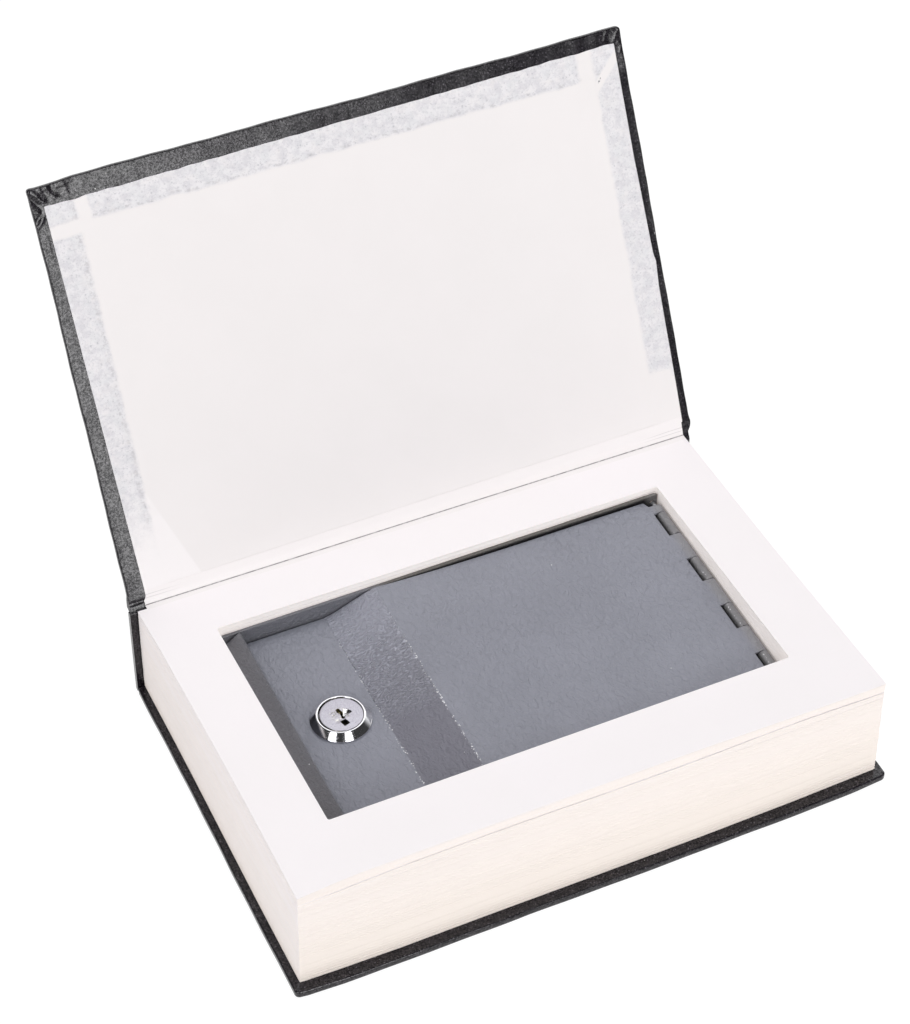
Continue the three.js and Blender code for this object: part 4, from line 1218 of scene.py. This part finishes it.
def make_housing():
    """The lock's head and barrel, with four wide grooves in the bore, a thread and two flats."""
    base = SHELF_TOP + 0.1
    profile = rounded_profile(
        (
            (BARREL, base, 0.05),
            (HEAD_RADIUS, base, 0.15),
            (HEAD_RADIUS, base + 0.55, 0.25),
            (11.15, base + 0.75, 0.12),
            (9.1, HEAD_TOP - 0.12, 0.3),
            (8.88, HEAD_TOP, 0.2),
            (8.48, HEAD_TOP - 0.02, 0.15),
            (8.36, HEAD_TOP - 0.12, 0.1),
            (RECESS_RADIUS, HEAD_TOP - RECESS_DEPTH, 0.1),
            (BORE, HEAD_TOP - RECESS_DEPTH, 0.1),
            (BORE, BARREL_BOTTOM, 0.1),
            (7.5, BARREL_BOTTOM, 0.2),
        )
    )
    bore = next(k for k, (r, z) in enumerate(profile) if abs(r - BORE) < 0.001 and z < HEAD_TOP - 2)
    heights = (GROOVE[1] + 0.05, GROOVE[1], GROOVE[0], GROOVE[0] - 0.05)
    profile[bore + 1 : bore + 1] = [(BORE, z) for z in heights]
    root = BARREL - THREAD_DEPTH
    z = BARREL_BOTTOM + 0.4
    while z < base - 0.3:
        profile += [(BARREL, z), (BARREL, z + 0.25), (root, z + 0.5), (root, z + 0.6)]
        z += THREAD_PITCH
    verts, faces = turned(profile, 128)
    x, y, z = verts.T
    arms = np.abs((np.degrees(np.arctan2(y, x)) % 90 + 45) % 90 - 45) < GROOVE_HALF_ANGLE
    in_groove = (z > GROOVE[0] - 0.01) & (z < GROOVE[1] + 0.01)
    inside = (np.abs(np.hypot(x, y) - BORE) < 0.01) & in_groove
    verts[inside & arms, :2] *= BORE_WIDE / BORE
    verts[:, 0] = np.where(z < base - 0.02, np.clip(x, -BARREL_HALF_FLAT, BARREL_HALF_FLAT), x)
    obj = new_object("lock_housing_detail", verts + (LOCK_X, LOCK_Y, 0), faces, chrome, 40)
    fix_normals(obj)
    return obj


place(make_housing(), "lid", "chrome", "lock_housing")


# Lock plug

# Where the face's middle is, from the lock's axis
FACE_SHIFT = (0.2, -0.093)


def keyway_depth(right, up):
    """How deep the keyway's cuts are below the plug's face, at points across and up as the photo shows it."""
    rough = 0.12 * waves(131, 6, 0.7, 2.2)(right, up)
    x, y = right - 0.9, up + 1.3
    depth = np.where(np.hypot(x, y) < 0.75 + rough, KEYWAY_DEPTH, 0.0)
    along = 0.38 * x + 0.925 * y
    across = 0.38 * y - 0.925 * x
    width = 0.25 + 0.42 * np.clip(along, 0, 4.1)
    fan = 0.15 + (1 - np.abs(across) / width) * width * 0.7
    fan = np.where((along > 0) & (along < 4.1 - 0.12 * across**2) & (np.abs(across) < width), fan, 0)
    depth = np.maximum(depth, np.minimum(fan, 1.2))
    diamond = np.abs(right - 1.7) / 1.7 + np.abs(up + 3.55 + 0.15 * right) / 1.75
    depth = np.where(diamond < 1.0, KEYWAY_DEPTH, depth)
    share = np.clip((3.2 * y - 1.95 * x) / (1.95**2 + 3.2**2), 0, 1)
    slot = np.hypot(x + 1.95 * share, y - 3.2 * share)
    depth = np.where(slot < 0.35 + 0.45 * share + 1.5 * rough, np.maximum(depth, 1.25 + rough), depth)
    smear = np.hypot(right + 1.0, up + 3.3) / 1.2
    depth = np.maximum(depth, np.where(smear < 1, 0.07 * (1 - smear**2), 0))
    return np.clip(depth, 0, KEYWAY_DEPTH)


def make_plug():
    """The CAD's plug below its face, under a new face with the keyway's cuts and their worn rims."""
    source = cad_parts["lock_plug"]
    mesh = source.data.copy()
    mesh.transform(source.matrix_world)
    bm = bmesh.new()
    bm.from_mesh(mesh)
    geometry = bm.verts[:] + bm.edges[:] + bm.faces[:]
    cut = (0, 0, (FACE_BOTTOM + 0.3) * MM)
    bmesh.ops.bisect_plane(bm, geom=geometry, plane_co=cut, plane_no=(0, 0, 1), clear_outer=True)
    bm.to_mesh(mesh)
    bm.free()
    base_verts = np.array([v.co for v in mesh.vertices]) / MM
    base_faces = [tuple(p.vertices) for p in mesh.polygons]
    angles = np.arange(180) / 180 * 2 * math.pi
    rings = [(0.02, FACE_BOTTOM), (FACE_RADIUS - 0.1, FACE_BOTTOM), (FACE_RADIUS, FACE_BOTTOM + 0.1)]
    rings += [(FACE_RADIUS, FACE_TOP - 0.14), (FACE_RADIUS - 0.05, FACE_TOP - 0.04)]
    inward = (FACE_RADIUS - 0.12, 7.5, 7.0, 6.4, *np.arange(0.05, 6.0, 0.1)[::-1])
    rings += [(radius, None) for radius in inward]
    verts = [base_verts]
    for radius, height in rings:
        dx, dy = FACE_SHIFT[0] + radius * np.cos(angles), FACE_SHIFT[1] + radius * np.sin(angles)
        if height is None:
            right, up = VIEW_RIGHT[0] * dx + VIEW_RIGHT[1] * dy, VIEW_RIGHT[0] * dy - VIEW_RIGHT[1] * dx
            height = FACE_TOP - keyway_depth(right, up)
        verts.append(np.column_stack([LOCK_X + dx, LOCK_Y + dy, np.broadcast_to(height, dx.shape)]))
    faces = quads(len(rings), len(angles), wrap_rows=True, wrap_cols=True, start=len(base_verts))
    obj = new_object("lock_plug_detail", np.vstack(verts), base_faces + faces, lock_face, 30)
    fix_normals(obj)
    return obj


place(make_plug(), "lock_plug", "chrome", "lock_plug")


# Floor, light and camera

WHITE = (1, 1, 1)

# Strengths of the even light on all, of the panels, the dim part between them and the ground, which only
# polished surfaces see, and of the floor's glow
EVEN_LIGHT = 0.54
PANEL_LIGHT = 6.4
DIM_LIGHT = 0.05
GROUND_LIGHT = 0.6
FLOOR_GLOW = 1.09

# The photo's height, the camera's focal length and how far its axis is off the middle, all in pixels
PHOTO_HEIGHT = 1024
FOCAL_LENGTH = 3151.8
AXIS_RIGHT = 10.3
AXIS_DOWN = 4.5


def make_floor():
    """A matt floor that mostly glows white where the camera or a reflection sees it."""
    size, depth = 3.0, -0.0002
    mesh = bpy.data.meshes.new("floor")
    corners = [(-size, -size, depth), (size, -size, depth), (size, size, depth), (-size, size, depth)]
    mesh.from_pydata(corners, [], [(0, 1, 2, 3)])
    floor = bpy.data.objects.new("floor", mesh)
    SCENE.collection.objects.link(floor)
    material = bpy.data.materials.new("floor_white")
    tree = new_tree(material)
    path = add(tree, "LightPath")
    camera, glossy, clear = (Value(path, f"Is {kind} Ray") for kind in ("Camera", "Glossy", "Transmission"))
    diffuse = Value(add(tree, "BsdfDiffuse", {"Color": (0.9, 0.9, 0.9)}))
    glow = Value(add(tree, "Emission", {"Color": WHITE, "Strength": FLOOR_GLOW}))
    surface = ((camera | glossy | clear) * 0.84).choose(diffuse, glow)
    add(tree, "OutputMaterial", {0: surface})
    mesh.materials.append(material)


def make_world():
    """Even light for the object, white where the camera looks, and two bright panels for polished metal."""
    world = bpy.data.worlds.new("studio")
    tree = new_tree(world)
    path = add(tree, "LightPath")
    camera, glossy, clear = (Value(path, f"Is {kind} Ray") for kind in ("Camera", "Glossy", "Transmission"))
    x, y, z = Value(add(tree, "TexCoord"), "Generated").split()
    side = x * VIEW_RIGHT[0] + y * VIEW_RIGHT[1]
    front = x * VIEW_RIGHT[1] + y * -VIEW_RIGHT[0]
    turn = abs(side.math("ARCTAN2", front))
    panel = turn.band(math.radians(30.5), math.radians(9.5), math.radians(3.5)) * z.ramp(0.75, 0.82, 1.0, 0.0)
    ahead = turn.ramp(math.radians(100), math.radians(140), 1.0, 0.0)
    back = x.math("ARCTAN2", y).ramp(math.radians(-50), math.radians(30), 0.3, 1.8)
    low = z.ramp(0.02, 0.08, 1.0, 0.0)
    shine = (panel * PANEL_LIGHT + DIM_LIGHT) * ahead + back * (1.0 - ahead)
    shine = low * GROUND_LIGHT + shine * (1.0 - low)
    even, gloss, white = (
        Value(add(tree, "Background", {"Color": WHITE, "Strength": strength}))
        for strength in (EVEN_LIGHT, shine, 1.0)
    )
    surface = (camera | clear).choose(glossy.choose(even, gloss), white)
    add(tree, "OutputWorld", {0: surface})
    SCENE.world = world


def make_lamp(name, place_at, target, size, power):
    lamp = bpy.data.lights.new(name, "AREA")
    lamp.shape = "SQUARE"
    lamp.size = size
    lamp.energy = power
    obj = bpy.data.objects.new(name, lamp)
    SCENE.collection.objects.link(obj)
    obj.location = place_at
    aim = Vector(target) - Vector(place_at)
    obj.rotation_euler = aim.to_track_quat("-Z", "Y").to_euler()
    obj.visible_glossy = False


def make_camera():
    camera = bpy.data.cameras.new("photo_camera")
    camera.sensor_fit = "VERTICAL"
    camera.sensor_height = 36.0
    camera.lens = FOCAL_LENGTH / PHOTO_HEIGHT * camera.sensor_height
    camera.shift_x = -AXIS_RIGHT / PHOTO_HEIGHT
    camera.shift_y = AXIS_DOWN / PHOTO_HEIGHT
    camera.clip_start = 0.01
    camera.clip_end = 20
    obj = bpy.data.objects.new("photo_camera", camera)
    SCENE.collection.objects.link(obj)
    # The axes and place that fit the photo's corners
    right = Vector((0.9061, -0.4231, 0.0006))
    down = Vector((-0.2960, -0.6348, -0.7138))
    forward = Vector((0.3024, 0.6466, -0.7004))
    turn = Matrix((right, -down, -forward)).transposed().to_4x4()
    turn.translation = Vector((-0.3461, -0.7051, 0.8832))
    obj.matrix_world = turn
    SCENE.camera = obj


make_floor()
make_world()
make_lamp("top", (0.15, 0.5, 1.6), (0, 0, 0.03), 1.2, 8.4)
make_lamp("front", (0.85, -1.33, 0.68), (0, 0, 0.05), 0.9, 9.4)
make_lamp("side", (-1.28, -0.56, 0.77), (0, 0, 0.05), 0.9, 5.8)
make_camera()
SCENE.view_settings.view_transform = "Standard"
